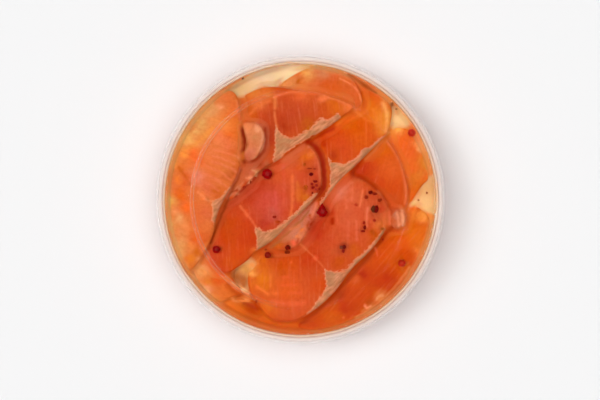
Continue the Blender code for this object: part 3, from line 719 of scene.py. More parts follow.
cut_slice(
    "slice_lower", "large_slice_lower", (212, 86, 46),
    patches=[
        ((14.2, 1.9), 4.5, (236, 124, 98)), ((17.8, -5.6), 7, (216, 92, 58)),
        ((4.8, -11), 5, (198, 54, 36)), ((27.8, -4.6), 4, (216, 84, 56)),
        ((30.7, -8.1), 2.5, (224, 108, 56)), ((28.2, -9.6), 2, (230, 118, 64)),
        ((26.7, -13.9), 2.5, (206, 84, 22)), ((19.9, -18.2), 2.8, (210, 90, 32)),
        ((14.2, -22.5), 2.5, (204, 82, 28)), ((3.4, -21), 6, (203, 64, 28)),
        ((-3.8, -23.6), 4, (214, 80, 28)), ((-4.5, -32.5), 6, (226, 92, 38)),
        ((-13.8, -28.9), 4.5, (228, 116, 30)), ((-16.7, -23.9), 1.6, (252, 152, 84)),
        ((-17.8, -27.1), 1.4, (250, 160, 84)), ((-11.7, -39), 4, (222, 102, 36)),
        ((7, -30.7), 3, (214, 78, 28)), ((10.9, -8.1), 0.7, (178, 46, 22)),
        ((8.1, -7.8), 0.8, (180, 44, 20)), ((15.6, -17.1), 1.9, (166, 62, 42)),
        ((10.6, -5.3), 2, (206, 66, 38)), ((-7, -25), 1.2, (206, 78, 16)),
        ((-13.1, -22.5), 2, (224, 104, 32)), ((-9.1, -33.2), 1.4, (240, 112, 54)),
        ((-3.4, -22.5), 0.6, (234, 100, 52)), ((4.8, -21), 0.8, (230, 88, 52)),
        ((26, -12.1), 1.1, (186, 78, 18)), ((2.7, -16.7), 0.8, (226, 92, 56)),
    ],
    strokes=[
        ([(27.8, 3), (29.9, -0.3), (31.4, -3.5), (32.1, -6), (32.1, -8.9)], 0.5, (228, 108, 68)),
        ([(22.3, 3), (21.9, 0.5), (21.3, -2.4)], 0.42, (242, 126, 84)),
        ([(24.1, -3.1), (23.8, -6.3), (23.7, -9.6)], 0.5, (238, 126, 90)),
        ([(20.1, -7.8), (20.2, -14.6)], 0.5, (228, 112, 80)),
        ([(18.7, 5.8), (18.5, -0.3)], 0.45, (230, 116, 82)),
        ([(16, 0.5), (16.5, -2.8)], 0.6, (230, 112, 78)), ([(17, -8.1), (17, -13.9)], 0.5, (222, 100, 68)),
        ([(13.1, -2.4), (12.9, -8.1)], 0.7, (222, 98, 64)),
        ([(29.6, -9.6), (30.7, -10.7), (29.2, -11.7)], 0.35, (244, 136, 76)),
        ([(-16, -31.4), (-14.2, -32.3), (-11.7, -34)], 0.55, (250, 130, 66)),
        ([(-10.2, -36.5), (-7, -37.4), (-3, -37.5), (1.3, -37.2)], 0.9, (236, 108, 66)),
        ([(-6.6, -28), (-4.5, -28)], 0.45, (234, 98, 50)),
        ([(-7, -30.9), (-1.6, -30.7)], 0.4, (234, 98, 50)),
        ([(-4.1, -33.8), (-0.2, -33.6)], 0.5, (232, 98, 54)),
        ([(-9.1, -38.8), (-3.8, -39.2)], 0.4, (206, 80, 22)),
        ([(-10.6, -27.1), (-10.8, -31.1)], 0.45, (236, 116, 50)),
        ([(-7, -22.5), (-7, -26.1)], 0.4, (206, 84, 16)),
        ([(-0.9, -15.3), (1.6, -17.5), (4.1, -20), (6.3, -22.1), (8.4, -24.6)], 0.3, (230, 114, 66)),
        # Painted shadow along the right slice's lower edge.
        ([(5.2, -6.3), (3.8, -8.9), (2, -11.4), (0.2, -13.5), (-1.3, -16.7)], 0.4, (180, 52, 16)),
    ],
    skin=[
        (30.7, -9.6), (28.5, -12.1), (27.1, -14.2), (25.3, -16.4), (23.5, -18.2), (21.7, -20), (19.9, -21),
        (18.1, -23.2), (16.3, -25), (14.2, -25.9), (12, -26.2), (10.2, -25.5), (8.4, -24.6), (8.4, -26.8),
        (9, -29.3), (9.1, -31.4), (8.1, -33.6), (6.6, -35.9), (4.8, -38.3), (2.9, -40.6), (0.2, -43.1),
        (0.5, -44.7), (2.7, -42.2), (5.2, -40.2), (7.4, -38.6), (9.1, -36.8), (10.9, -35), (12.7, -33.2),
        (14.5, -31.1), (16.7, -28.9), (18.8, -26.4), (21, -23.9), (23.1, -21.4), (25.3, -18.9),
        (27.4, -16.7), (29.6, -13.9), (32.1, -10.7),
    ],
    heading=90,
)


# ---- Right slice ----
# A large slice, laid over the lower one and under the middle one. Its skin runs up to the right,
# and its other end shows as a pale band between those two.

cut_slice(
    "slice_right", "large_slice_right", (214, 84, 32),
    patches=[
        ((10.9, 24.9), 3.5, (226, 74, 26)), ((14.9, 18.4), 5, (216, 80, 38)),
        ((8.8, 19.8), 2, (196, 56, 24)), ((12, 15.5), 2, (190, 64, 14)), ((16.3, 29.9), 4, (244, 110, 36)),
        ((25.6, 32.7), 6, (230, 112, 32)), ((29.9, 27.7), 4, (232, 134, 50)),
        ((21.3, 23.1), 4, (222, 90, 24)), ((-3, -10.3), 6, (212, 130, 108)),
        ((2, -4.6), 4, (222, 138, 124)), ((-10.2, -16), 4, (216, 112, 66)),
        ((2.3, -10.3), 0.8, (240, 120, 82)), ((0.5, -12.1), 0.9, (238, 122, 66)),
        ((-2.3, -16.2), 1.1, (240, 104, 72)), ((9.9, 2.6), 2, (210, 96, 50)),
        ((3.8, -6.7), 1.0, (196, 74, 40)), ((-3.8, -7.8), 1.0, (226, 128, 84)),
        ((-5.2, -14.6), 1.6, (208, 112, 72)), ((4.1, -9.6), 1.8, (184, 48, 16)),
        ((-0.9, -13.5), 0.8, (236, 128, 78)), ((0.9, -8.1), 1.8, (208, 112, 84)),
        ((-4.8, -12.1), 1.4, (204, 104, 68)), ((-7.4, -13.2), 1.5, (210, 132, 106)),
        ((-0.2, -5.3), 1.8, (218, 134, 116)), ((-8.1, -17.5), 2, (208, 92, 34)),
        ((9.1, 14.8), 1.2, (232, 110, 48)),
    ],
    strokes=[
        # Painted shadow, cast by the middle slice's right edge.
        ([(0.9, 21.6), (3.4, 20.5), (5.6, 18.8), (7, 16.2), (7.9, 13.4), (8.4, 9.8), (8.8, 6.2), (8.6, 2.6),
          (7.4, 0.1)], 1.3, (164, 34, 8)),
        ([(9.7, 13.4), (9.9, 9.1), (9.9, 5.5)], 0.5, (206, 84, 34)),
        # Painted shadow under the top slice's strip of skin.
        ([(3, 20.5), (6.3, 22.3), (9.1, 24.1), (12, 25.6)], 0.45, (192, 54, 16)),
        ([(13.4, 27), (16, 29.5), (18.5, 32.4)], 0.8, (236, 108, 42)),
        ([(29.9, 34.5), (31.2, 31.3), (31.4, 27.7), (30.7, 24.5)], 0.9, (252, 176, 104)),
        ([(5.7, -1.7), (5, -3.8), (4.1, -6.3)], 0.55, (234, 134, 102)),
        ([(3, -4.4), (1.3, -6.7), (-0.9, -8.7), (-3, -10.7), (-4.8, -12.4), (-6.6, -14.1), (-8.4, -15.7),
          (-10.6, -17.5)], 0.4, (184, 98, 58)),
        ([(3, -8), (2.2, -9.6), (3, -10.8)], 0.4, (172, 62, 24)),
        ([(-0.9, -14.2), (-1.3, -15.7)], 0.45, (184, 46, 18)),
        ([(-3.8, -11), (-0.2, -9.6)], 0.5, (222, 116, 76)),
        ([(23.5, 30.9), (23.8, 25.6), (23.5, 19.8)], 0.5, (228, 104, 42)),
        ([(26, 32.7), (27.4, 29.2), (28.2, 25.9)], 0.5, (236, 128, 52)),
        ([(18.5, 32.4), (21.3, 30.6), (24.2, 28.4), (27.1, 27.7)], 0.5, (234, 118, 52)),
    ],
    skin=[
        (32.8, 24.5), (31.4, 23.4), (29.6, 22.5), (27.8, 21.6), (26.4, 20.2), (24.9, 18.6), (23.5, 18.4),
        (21.7, 18.2), (21, 16.2), (19.2, 14.6), (17.4, 13.6), (15.2, 12.5), (13.1, 12.8), (11.3, 13.6),
        (9.5, 15.5), (10.2, 13), (10.6, 10.5), (10.6, 7.6), (10.8, 5.1), (9.5, 2.6), (8.1, 0.5),
        (6.6, -1.7), (8.1, -2.4), (9.5, -0.6), (10.9, 1.4), (12.7, 3.5), (14.9, 5.5), (16.7, 6.9),
        (18.5, 8.9), (20.6, 11), (22.8, 13.2), (24.9, 16.1), (27.1, 18.4), (29.2, 20.5), (32.8, 22.7),
    ],
    heading=92,
)


# ---- Middle slice ----
# The slice in the middle, laid over the right one. Its skin runs along its lower right edge, and its
# left lobe reaches down towards the rim.

cut_slice(
    "slice_middle", "large_slice_middle", (208, 78, 46),
    patches=[
        ((-17.4, 3.3), 6, (194, 64, 36)), ((-10.9, -1.3), 5.5, (212, 80, 66)),
        ((-5.2, 9.8), 4.5, (220, 94, 56)), ((2.7, 14.8), 3.5, (224, 100, 38)),
        ((0.9, 1.9), 3, (214, 98, 34)), ((5.9, 11.2), 2, (218, 90, 60)), ((4.8, 4.8), 1.9, (202, 74, 50)),
        ((3.4, 9.8), 1.6, (208, 80, 36)), ((-19.5, -12.8), 6, (206, 66, 22)),
        ((-26, -11.7), 4.5, (204, 74, 20)), ((-24.6, -22.5), 4, (212, 82, 24)),
        ((-12.7, -8.1), 2.5, (194, 62, 44)), ((-22.4, -0.6), 1.4, (214, 86, 52)),
        # The dark spots at (-24.6, -0.6) and (-20.3, 4.8) are painted shade in the gap at the upper left.
        ((-24.6, -0.6), 1.5, (156, 40, 14)), ((-20.3, 4.8), 1.3, (166, 46, 20)),
        ((-3, 14.8), 2, (212, 104, 68)), ((3.9, 15.9), 1.1, (234, 114, 60)),
        ((2.7, 1.2), 1.4, (212, 106, 36)), ((-17, 5.8), 0.7, (224, 100, 68)),
        ((-19.2, -5.6), 1.2, (222, 84, 46)), ((-0.2, 11.2), 1.5, (222, 96, 44)),
        ((-28.2, -8.1), 2, (188, 62, 14)), ((-9.9, -4.6), 2.4, (206, 86, 74)),
        ((-21.7, -18.2), 3, (212, 74, 20)), ((-16.7, -18.9), 1.6, (228, 114, 54)),
    ],
    strokes=[
        ([(-3, 8.4), (-2.9, 3.3), (-2.8, -1.7), (-3.6, -5.6)], 0.6, (238, 118, 68)),
        ([(-1.1, 6.2), (-0.9, -0.3)], 0.6, (222, 108, 48)),
        ([(-6.1, 11.9), (-5.9, 6.9), (-6.1, -1.7)], 0.6, (222, 92, 66)),
        ([(-9, 2.6), (-8.8, -3.8)], 0.6, (220, 88, 76)),
        ([(3, 18.8), (5, 17), (6.1, 14.1), (6.8, 10.5), (7.2, 5.5)], 0.45, (228, 116, 80)),
        ([(-6.6, 13.7), (-4.5, 14.8), (-2.3, 16.2), (-0.2, 17.5), (1.6, 18.8)], 0.6, (216, 100, 64)),
        ([(-21.7, -2.4), (-19.2, -5.6), (-17.4, -7.8), (-16, -9.9)], 0.45, (234, 116, 72)),
        # Painted shadow under the top slice's ragged lower edge.
        ([(-14.2, 11.2), (-16.3, 8), (-18.1, 5.8), (-20.3, 4.4), (-23.1, 1.2)], 0.5, (166, 44, 14)),
        # Painted shadow beside the left slice's edge.
        ([(-25.3, 2.3), (-26.2, -0.3), (-27.4, -3.5), (-28.9, -7.1), (-30.7, -11.4),
          (-32.5, -15.7)], 0.45, (146, 54, 20)),
    ],
    skin=[
        (6.3, 2.6), (4.5, 1.9), (3, 0.3), (1.3, -1), (-0.2, -3.1), (-1.6, -4.9), (-3.4, -6.3), (-5.2, -8),
        (-7.4, -9.6), (-9.1, -10.7), (-11.3, -11.7), (-13.1, -11.4), (-14.5, -10.7), (-16.3, -9.6),
        (-16, -12.1), (-15.6, -15), (-16, -18.2), (-14.9, -19.6), (-12.7, -18.2), (-10.9, -16.9),
        (-9.1, -15.3), (-7.4, -13.7), (-5.6, -12.1), (-3.8, -10.3), (-1.6, -8.3), (0.5, -6.3), (2.3, -4.2),
        (4.5, -1.7), (7, 0.8),
    ],
    heading=91,
)


# ---- Top slice ----
# The large slice at the top, laid over the middle one. It has a forked strip of skin along its lower
# right edge, and its left end is torn into small ragged bits.

cut_slice(
    "slice_top", "large_slice_top", (206, 80, 38),
    patches=[
        ((-3, 30.6), 6, (200, 74, 42)), ((-5.9, 26.6), 2.6, (184, 58, 26)),
        ((12.7, 33.8), 4, (222, 104, 34)), ((17.8, 33.5), 2.5, (240, 120, 62)),
        ((8.1, 36.3), 1.4, (246, 128, 80)), ((0.5, 38.1), 4, (230, 106, 56)),
        ((3.4, 25.6), 3, (198, 96, 28)), ((-12.4, 22.3), 4.5, (176, 56, 34)),
        ((-11.7, 30.2), 3.5, (196, 68, 34)), ((-18.8, 33.1), 2.6, (202, 80, 24)),
        ((-15.2, 34.2), 2, (226, 114, 66)), ((-16.7, 38.1), 4, (224, 124, 62)),
        ((-12, 37.8), 2.6, (222, 116, 54)), ((-18.1, 29.5), 3, (212, 92, 36)),
        ((-17.4, 12.3), 3, (182, 74, 46)), ((-19.5, 8.7), 2.2, (204, 94, 60)),
        ((-17.4, 10.1), 1.4, (212, 104, 78)), ((-15.4, 9.6), 0.8, (194, 122, 82)),
        ((-17.9, 7.8), 0.9, (240, 138, 98)), ((-22.1, 4.4), 1.4, (206, 114, 84)),
        ((-23.8, 1.7), 1.2, (204, 110, 80)), ((-23.8, 5.8), 1.3, (190, 80, 48)),
        ((-13.8, 12.3), 2, (196, 84, 56)), ((-11.7, 13.4), 1.4, (188, 92, 60)),
        ((-15.2, 13), 1.6, (176, 64, 36)),
    ],
    strokes=[
        ([(-21.5, 35.3), (-21, 31.3), (-21, 27.4)], 0.7, (212, 104, 56)),
        # Painted light: lighter flesh beside the scrap, to offset the shade that the scrap casts.
        ([(-15.2, 27), (-13.8, 24.9), (-13.3, 22), (-13.8, 18.8), (-15.6, 16.2)], 0.8, (208, 96, 72)),
        # Painted shade in the slit between the left slice and the scrap.
        ([(-21, 25.6), (-20.4, 22), (-19.9, 19.1), (-20.6, 17.3)], 0.9, (140, 42, 6)),
        # Painted shadow of the scrap on this slice.
        ([(-12.7, 25.6), (-12.2, 22), (-12.7, 18.4), (-14.5, 15.2), (-17.4, 13.7)], 0.7, (160, 50, 30)),
        ([(-20.4, 14.1), (-20.1, 13)], 0.55, (146, 46, 8)),
        ([(-5.9, 14.8), (-3.8, 16.4), (-1.3, 17.9), (1.3, 19.5)], 0.75, (216, 98, 62)),
        ([(-21.7, 10.5), (-23.1, 6.9), (-24.9, 3.7)], 0.6, (150, 54, 26)),
        ([(-17.4, 10.5), (-15.6, 9.8), (-16.3, 8.4)], 0.45, (222, 146, 104)),
        ([(-19.5, 7.6), (-17.8, 7.3), (-18.5, 6.2)], 0.4, (238, 140, 98)),
        ([(-23.1, 4.1), (-21.3, 5.1), (-20.6, 6.2)], 0.4, (216, 124, 88)),
        ([(-25.3, 1.2), (-23.8, 2.3), (-22.4, 1.9)], 0.4, (214, 122, 86)),
        ([(-25.5, 2.8), (-22.8, 3.3)], 0.35, (150, 54, 28)),
        ([(-10.9, 35.3), (-13.8, 34.5), (-16, 33.1), (-18.1, 30.9)], 0.6, (232, 118, 62)),
        ([(-9.3, 37), (-9.1, 34.9), (-9.1, 32.7)], 0.55, (238, 134, 76)),
        ([(-9.3, 31.3), (-9.1, 28.4), (-8.4, 25.6)], 0.45, (236, 130, 74)),
        ([(-9.1, 37), (-6.6, 37.8), (-3.8, 38.5), (-0.2, 38.7), (4.1, 38.5), (7.7, 37.4), (12.4, 36),
          (16, 34.5), (19.9, 32.7)], 0.55, (242, 126, 80)),
        ([(-14, 31.3), (-14.2, 27.7)], 0.7, (208, 84, 50)),
    ],
    skin=[
        (-9.1, 28.1), (-8.4, 25.6), (-7.4, 24.5), (-6.3, 23.4), (-4.8, 22), (-3, 21.8), (-0.9, 22.9),
        (1.3, 24.3), (3.4, 25.4), (4.8, 27), (6.3, 28.4), (7.7, 29.3), (9.5, 28.8), (11.3, 29.2),
        (12.4, 30.4), (13.4, 30.9), (14.5, 29.9), (14.2, 28.1), (12.4, 27), (10.9, 26.1), (9.1, 25.2),
        (7, 23.4), (4.8, 22.9), (3, 22), (0.9, 20.7), (-1.3, 19.5), (-3.4, 18.2), (-5.2, 17.1),
        (-6.6, 15.9), (-6.6, 13.7), (-7.7, 12.7), (-8.8, 11.9), (-10, 12.3), (-9.7, 14.8), (-9.5, 17.7),
        (-9.1, 20.5), (-9.1, 23.4),
    ],
    heading=100,
)


# ---- Left slice ----
# A pale slice along the left wall, laid over all the others, with its fibres showing as fine pale
# lines. Its skin is a narrow strip at its lower right edge.

cut_slice(
    "slice_left", "large_slice_left", (226, 116, 62),
    patches=[
        ((-24.9, 27.7), 4, (234, 118, 50)), ((-22.4, 31.3), 1.6, (234, 122, 74)),
        ((-33.2, 31.3), 4.5, (230, 156, 98)), ((-35.7, 27), 2.6, (226, 166, 104)),
        ((-40.3, 20.5), 3.8, (244, 180, 108)), ((-34.6, 23.4), 2.4, (228, 148, 80)),
        ((-28.5, 33.5), 1.3, (248, 158, 112)), ((-26.7, 25.9), 1.8, (242, 150, 78)),
        ((-29.6, 23.1), 3.4, (242, 134, 84)), ((-24.6, 23.1), 2.8, (236, 114, 44)),
        ((-26, 19.5), 3, (234, 120, 76)), ((-33.2, 15.5), 3, (232, 122, 72)),
        ((-38.9, 15.5), 3.4, (240, 108, 48)), ((-42.1, 15.5), 1.6, (252, 152, 70)),
        ((-43.2, 11.2), 1.5, (222, 104, 28)), ((-41.1, 7.3), 2.2, (220, 92, 24)),
        ((-46.1, 12.3), 2.2, (248, 154, 76)), ((-46.8, -0.3), 2.6, (236, 168, 92)),
        ((-42.9, 1.9), 3, (230, 102, 28)), ((-36.8, 8.4), 3, (236, 136, 110)),
        ((-33.2, 4.4), 3.4, (224, 106, 70)), ((-29.6, 3), 2, (208, 94, 34)),
        ((-26, 7.6), 1.8, (200, 88, 42)), ((-35.3, 0.5), 0.8, (252, 136, 72)),
        ((-33.3, -0.3), 0.7, (176, 70, 18)), ((-33.9, -5.3), 3, (222, 106, 66)),
        ((-45, -4.9), 1.8, (244, 152, 98)), ((-46.8, -9.6), 2.6, (230, 160, 96)),
        ((-41.4, -9.6), 1.8, (242, 148, 88)), ((-43.2, -15), 3.2, (234, 150, 92)),
        ((-37.8, -13.9), 2.4, (226, 98, 36)), ((-44.3, -18.9), 2.6, (230, 162, 98)),
        ((-39.6, -21.8), 2.6, (230, 124, 38)), ((-37.1, -18.9), 1.6, (216, 104, 30)),
        ((-36, -21.8), 1.4, (240, 146, 88)), ((-34.2, -14.6), 2, (218, 100, 46)),
        ((-37.5, -8.1), 2, (228, 112, 62)), ((-30.7, 27.7), 2.2, (234, 142, 80)),
        ((-37.5, 24.1), 1.4, (236, 176, 110)), ((-31.7, 34.5), 1.6, (226, 150, 92)),
        ((-43.9, 7.6), 1.4, (240, 128, 54)), ((-40.3, -3.1), 2.2, (240, 112, 44)),
        ((-43.9, -7.4), 1.4, (238, 158, 102)), ((-39.6, -16.7), 1.6, (240, 136, 70)),
        ((-23.8, 17.7), 1.6, (226, 108, 54)), ((-23.8, 9.8), 1.4, (206, 92, 46)),
    ],
    strokes=[
        ([(-23, 35.6), (-22.2, 32), (-21.9, 28.4)], 0.4, (236, 128, 86)),
        ([(-30.7, 17.7), (-27.4, 17), (-22.4, 15.2)], 0.5, (238, 128, 84)),
        ([(-31.4, 15.5), (-28.2, 14.8), (-23.8, 12.7)], 0.5, (238, 130, 88)),
        ([(-31.7, 13.4), (-28.5, 12.7), (-24.6, 10.9), (-23.1, 9.8)], 0.5, (236, 128, 86)),
        ([(-33.5, 11.6), (-30.3, 10.5), (-26.7, 8.4), (-24.9, 6.9)], 0.5, (236, 126, 84)),
        ([(-35, 9.4), (-31.4, 8), (-28.2, 5.8), (-26.4, 4.4)], 0.5, (234, 124, 86)),
        ([(-36, 6.9), (-32.8, 5.5), (-29.6, 3.3)], 0.5, (234, 124, 86)),
        ([(-21.9, 11.2), (-23.5, 6.9), (-25.5, 3.3), (-26.7, 0.8)], 0.55, (214, 106, 76)),
        ([(-43.9, 11.6), (-41.8, 8.7), (-39.6, 5.5)], 0.6, (206, 84, 20)),
        ([(-43.2, 17.7), (-40.3, 18.4), (-37.5, 19.8), (-35, 22), (-31.7, 25.6)], 0.8, (238, 150, 72)),
        ([(-36.8, 2.6), (-35, 0.8), (-32.8, -0.6), (-31, -1)], 0.5, (244, 142, 92)),
    ],
    skin=[
        (-24.9, 5.1), (-26.7, 3), (-27.8, 1.2), (-29.2, 0.1), (-31, -0.6), (-32.1, -1.7), (-31.7, -3.8),
        (-31.9, -6.3), (-31.4, -8.9), (-30.3, -8.1), (-29.2, -6), (-28.5, -3.5), (-27.4, -1), (-26, 1.5),
        (-24.9, 3.7),
    ],
    heading=-25,
)


# ---- Scraps ----
# Two loose scraps of fillet: a flake of pale belly flesh at the upper left, curled over on itself,
# and a smaller one at the right.

cut_slice(
    "curl_large", "large_scrap", (220, 124, 84),
    patches=[
        ((-19.5, 25.9), 2, (232, 134, 88)), ((-16, 22), 1.6, (210, 126, 84)),
        ((-17.8, 16.6), 2.4, (218, 122, 92)), ((-18.8, 14.8), 1.6, (206, 104, 78)),
        ((-15.2, 25.7), 1.1, (242, 164, 128)),
    ],
    strokes=[
        # Painted shade in the slit at the scrap's left edge.
        ([(-21, 24.5), (-20.3, 22.7), (-19.5, 20.5), (-19.4, 19.1), (-20.3, 17.9)], 0.75, (134, 36, 2)),
        ([(-16, 26.3), (-14.2, 24.9), (-13.4, 22.3), (-13.8, 19.5), (-14.9, 17.3)], 0.7, (234, 150, 118)),
        ([(-20.6, 17), (-20.6, 14.8)], 0.6, (196, 96, 44)),
    ],
    heading=80,
)

cut_slice(
    "curl_small", "small_scrap", (208, 104, 68),
    patches=[
        ((32.5, -7.1), 1.8, (208, 94, 54)), ((34.2, -6), 1.0, (204, 118, 94)),
        ((35.3, -8.9), 0.9, (222, 120, 82)),
    ],
    strokes=[
        ([(34.6, -4.6), (35.1, -7.1), (35.3, -9.6)], 0.4, (244, 156, 120)),
        ([(36.6, -4.2), (36.6, -6.3), (36.9, -8.9)], 0.7, (254, 172, 132)),
    ],
    heading=80,
)


# ---- Cloudy oil ----
# Oil whitened by the juice of the fish. It has settled between the slices, up to just under their
# faces, and stands in pale pools where no slice lies on top.

CELL = 0.45
COLUMNS = 2 * int(50 / CELL) + 1
FILM = 1.0
UNDER_FACES = 0.25
LEAST_LEVEL = 19.5
EDGE_LEVEL = 25.2
POOL_LEVEL = 25.6
WALL_LEVEL = 27.4
OIL_PALE = shade(230, 186, 136)
GAP_SHADE = (0.92, 0.80, 0.68)
MARK_STRENGTH = 0.85
BRIDGED_CELLS = 3
TINT_REACH = 14
POOLS = [
    [(-28.2, 38.5), (-24.6, 41.3), (-19.9, 44.2), (-13.8, 47.1), (-5.6, 49.2), (4.1, 49.6),
     (2.7, 47.4), (-0.9, 45.6), (-3.8, 43.9), (-7, 42.1), (-9.5, 40.6), (-13.8, 41), (-16.3, 39.2),
     (-19.5, 37.4), (-22.4, 37), (-25.3, 38.1)],
    [(30.7, 32), (32.1, 35.3), (35, 33.5), (37.8, 30.6), (40.3, 26.3), (36.4, 25.9), (32.8, 25.9),
     (31.4, 28.4)],
    [(38.9, -2.8), (41.8, 1.2), (43.6, 5.5), (46.4, 8.4), (50, 8.4), (50, -5.3), (46.4, -5.3),
     (44.3, -3.8), (41.8, -2)],
    [(-24.9, -26.1), (-21.7, -23.6), (-18.8, -21.4), (-16, -22.1), (-16.3, -25.4), (-17.8, -28.9),
     (-18.8, -33.2), (-21.7, -31.4), (-24.2, -29.7)],
]
# The shades of the pools: place, reach and colour.
POOL_TINTS = [
    ((-11.7, 44.2), 9, (230, 208, 176)), ((-3.8, 45.6), 4, (242, 220, 184)),
    ((-23.8, 39.9), 4, (214, 180, 134)), ((-19.9, 38.1), 2.5, (226, 192, 150)),
    ((-26.7, 39.2), 2, (196, 150, 96)), ((-15.2, 41.3), 2, (232, 204, 170)),
    ((35.3, 28.8), 5, (240, 202, 148)), ((32.5, 33.8), 2.4, (180, 112, 58)),
    ((34.6, 31.3), 1.2, (226, 168, 110)), ((44.3, 3.3), 4, (226, 170, 112)),
    ((45.7, -1.7), 4, (240, 200, 148)), ((41.8, -1.3), 2, (240, 196, 140)),
    ((-23.1, -27.9), 3, (172, 98, 50)), ((-19.5, -25.4), 2.6, (220, 150, 78)),
    ((-20.6, -28.9), 2, (176, 98, 46)), ((-17.4, -23.9), 1.6, (248, 156, 84)),
    ((-20.6, -30.7), 2, (190, 110, 58)), ((-17.9, -27.1), 1.3, (244, 162, 88)),
]


def cells_of(flat):
    """The column and the row of the cell that each place lies in."""
    return (np.rint(flat / CELL).astype(int) + COLUMNS // 2).T


def neighbours(cells):
    """The nine cells round each cell, itself included."""
    return np.stack([np.roll(cells, (i, j), axis=(0, 1)) for i in (-1, 0, 1) for j in (-1, 0, 1)])


# The top and the colour of the slices in each cell.
slice_tops = np.zeros((COLUMNS, COLUMNS))
slice_tints = np.zeros((COLUMNS, COLUMNS, 3))
for piece in slices:
    places = corners_of(piece)
    tints = np.empty(len(places) * 4, dtype=np.float32)
    piece.data.attributes["flesh"].data.foreach_get("color", tints)
    order = np.argsort(places[:, 2])
    across, up = cells_of(places[order, :2])
    np.maximum.at(slice_tops, (across, up), places[order, 2])
    on_top = places[order, 2] >= slice_tops[across, up] - 0.001
    slice_tints[across[on_top], up[on_top]] = tints.reshape(-1, 4)[order][on_top, :3]

# The oil's level: it bridges narrow gaps, lies even in the pools and is drawn up at the wall.
level = slice_tops
for _ in range(BRIDGED_CELLS):
    level = neighbours(level).max(axis=0)
for _ in range(BRIDGED_CELLS):
    level = neighbours(level).min(axis=0)
grid = (np.arange(COLUMNS) - COLUMNS // 2) * CELL
grid = np.stack(np.meshgrid(grid, grid, indexing="ij"), axis=-1).reshape(-1, 2)
out = np.hypot(*grid.T).reshape(COLUMNS, COLUMNS)
in_pool = np.clip(into_areas(grid, POOLS) / 2 + 0.5, 0, 1).reshape(COLUMNS, COLUMNS)
near_edge = np.clip((out - 41.5) / 3, 0, 1)
least = np.maximum(POOL_LEVEL * in_pool, LEAST_LEVEL + (EDGE_LEVEL - LEAST_LEVEL) * near_edge)
level = np.maximum(level - UNDER_FACES, least)
at_wall = np.maximum(level, WALL_LEVEL * (1 - in_pool))
for _ in range(4):
    at_wall = neighbours(at_wall).max(axis=0)
for _ in range(2):
    level = neighbours(level).mean(axis=0)
    at_wall = neighbours(at_wall).mean(axis=0)
near_wall = np.clip((out - WALL_START) / 1.6, 0, 1)
near_wall = near_wall * near_wall * (3 - 2 * near_wall)
level = level + (at_wall - level) * near_wall

# Its tint: that of the slices beside it, with painted shade in the gaps between them.
known = (slice_tops > LEAST_LEVEL).astype(float)
tint, weight = slice_tints * known[:, :, None], known
for _ in range(TINT_REACH):
    tint, weight = neighbours(tint).mean(axis=0), neighbours(weight).mean(axis=0)
tint = tint / np.maximum(weight, 1e-9)[:, :, None]
# Painted shade: the film is darker where it lies well above the slices, in the gaps.
in_gap = ((level > slice_tops + 0.6) & (out < 43)).astype(float)[:, :, None]
tint = tint * (1 + in_gap * (np.array(GAP_SHADE) - 1))

# The film: a grid raised to that level and drawn in to the tub's bore.
bpy.ops.object.select_all(action="DESELECT")
bpy.ops.mesh.primitive_grid_add(x_subdivisions=COLUMNS - 1, y_subdivisions=COLUMNS - 1,
                                size=(COLUMNS - 1) * CELL * MM, location=(0, 0, 0))
cloudy = bpy.context.active_object
cloudy.name = cloudy.data.name = "cloudy_oil"
places = corners_of(cloudy)
across, up = cells_of(places[:, :2])
places[:, 2] = level[across, up]
out = np.hypot(places[:, 0], places[:, 1])
flare = (BORE_MOUTH[0] - BORE_FOOT[0]) / (BORE_MOUTH[1] - BORE_FOOT[1])
bore = BORE_FOOT[0] + (places[:, 2] - BORE_FOOT[1]) * flare
outside = out > bore + 0.6
places[:, :2] *= np.minimum(1, bore / np.maximum(out, 1e-9))[:, None]
move_corners(cloudy, places)

# Its colour: the slices' tint, paler at the wall, partly as painted light, and in the pools, with the
# slices' own strokes, painted shadows among them.
flat = places[:, :2]
loose = swayed(flat, 0.3, 0.9)
tint = tint[across, up]
tint = tint + (np.array(OIL_AND_LIGHT_AT_WALL) - tint) * 0.2 * near_wall[across, up, None]
milky = np.tile(OIL_PALE, (len(flat), 1))
for place, reach, shown in POOL_TINTS:
    milky = painted(milky, from_place(loose, place), reach, shade(*shown), 1)
pool = np.clip(into_areas(loose, POOLS) / 1.4 + 0.5, 0, 1)[:, None]
tint = tint + (milky - tint) * pool
for line, width, mark in marks:
    tint = painted(tint, from_lines(loose, [line]), width, mark, MARK_STRENGTH)
carry_colour(cloudy, tint)

# What lies outside the bore goes, and the rest gets its thickness.
bpy.ops.object.mode_set(mode="EDIT")
bpy.ops.mesh.select_all(action="DESELECT")
bpy.ops.mesh.select_mode(type="VERT")
bpy.ops.object.mode_set(mode="OBJECT")
cloudy.data.vertices.foreach_set("select", outside)
bpy.ops.object.mode_set(mode="EDIT")
bpy.ops.mesh.delete(type="VERT")
bpy.ops.mesh.select_all(action="SELECT")
bpy.ops.mesh.normals_make_consistent(inside=False)
bpy.ops.object.mode_set(mode="OBJECT")
bpy.ops.object.modifier_add(type="SOLIDIFY")
film = cloudy.modifiers[-1]
film.thickness = FILM * MM
film.offset = -1
bpy.ops.object.modifier_apply(modifier=film.name)
bpy.ops.object.shade_smooth_by_angle(angle=math.radians(60))
look, tree = new_material("cloudy_oil")
finish(tree, moist_body(tree, carried(tree, "flesh"), 0.35, 0.03, (1.0, 0.6, 0.3), 1.5))
cloudy.data.materials.append(look)
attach(cloudy, "root")


# ---- Peppercorns ----
# Dried pink peppercorns: thin brittle shells, wrinkled as they dried. The oil has softened some, and
# one still has the pointed end where its stalk was.

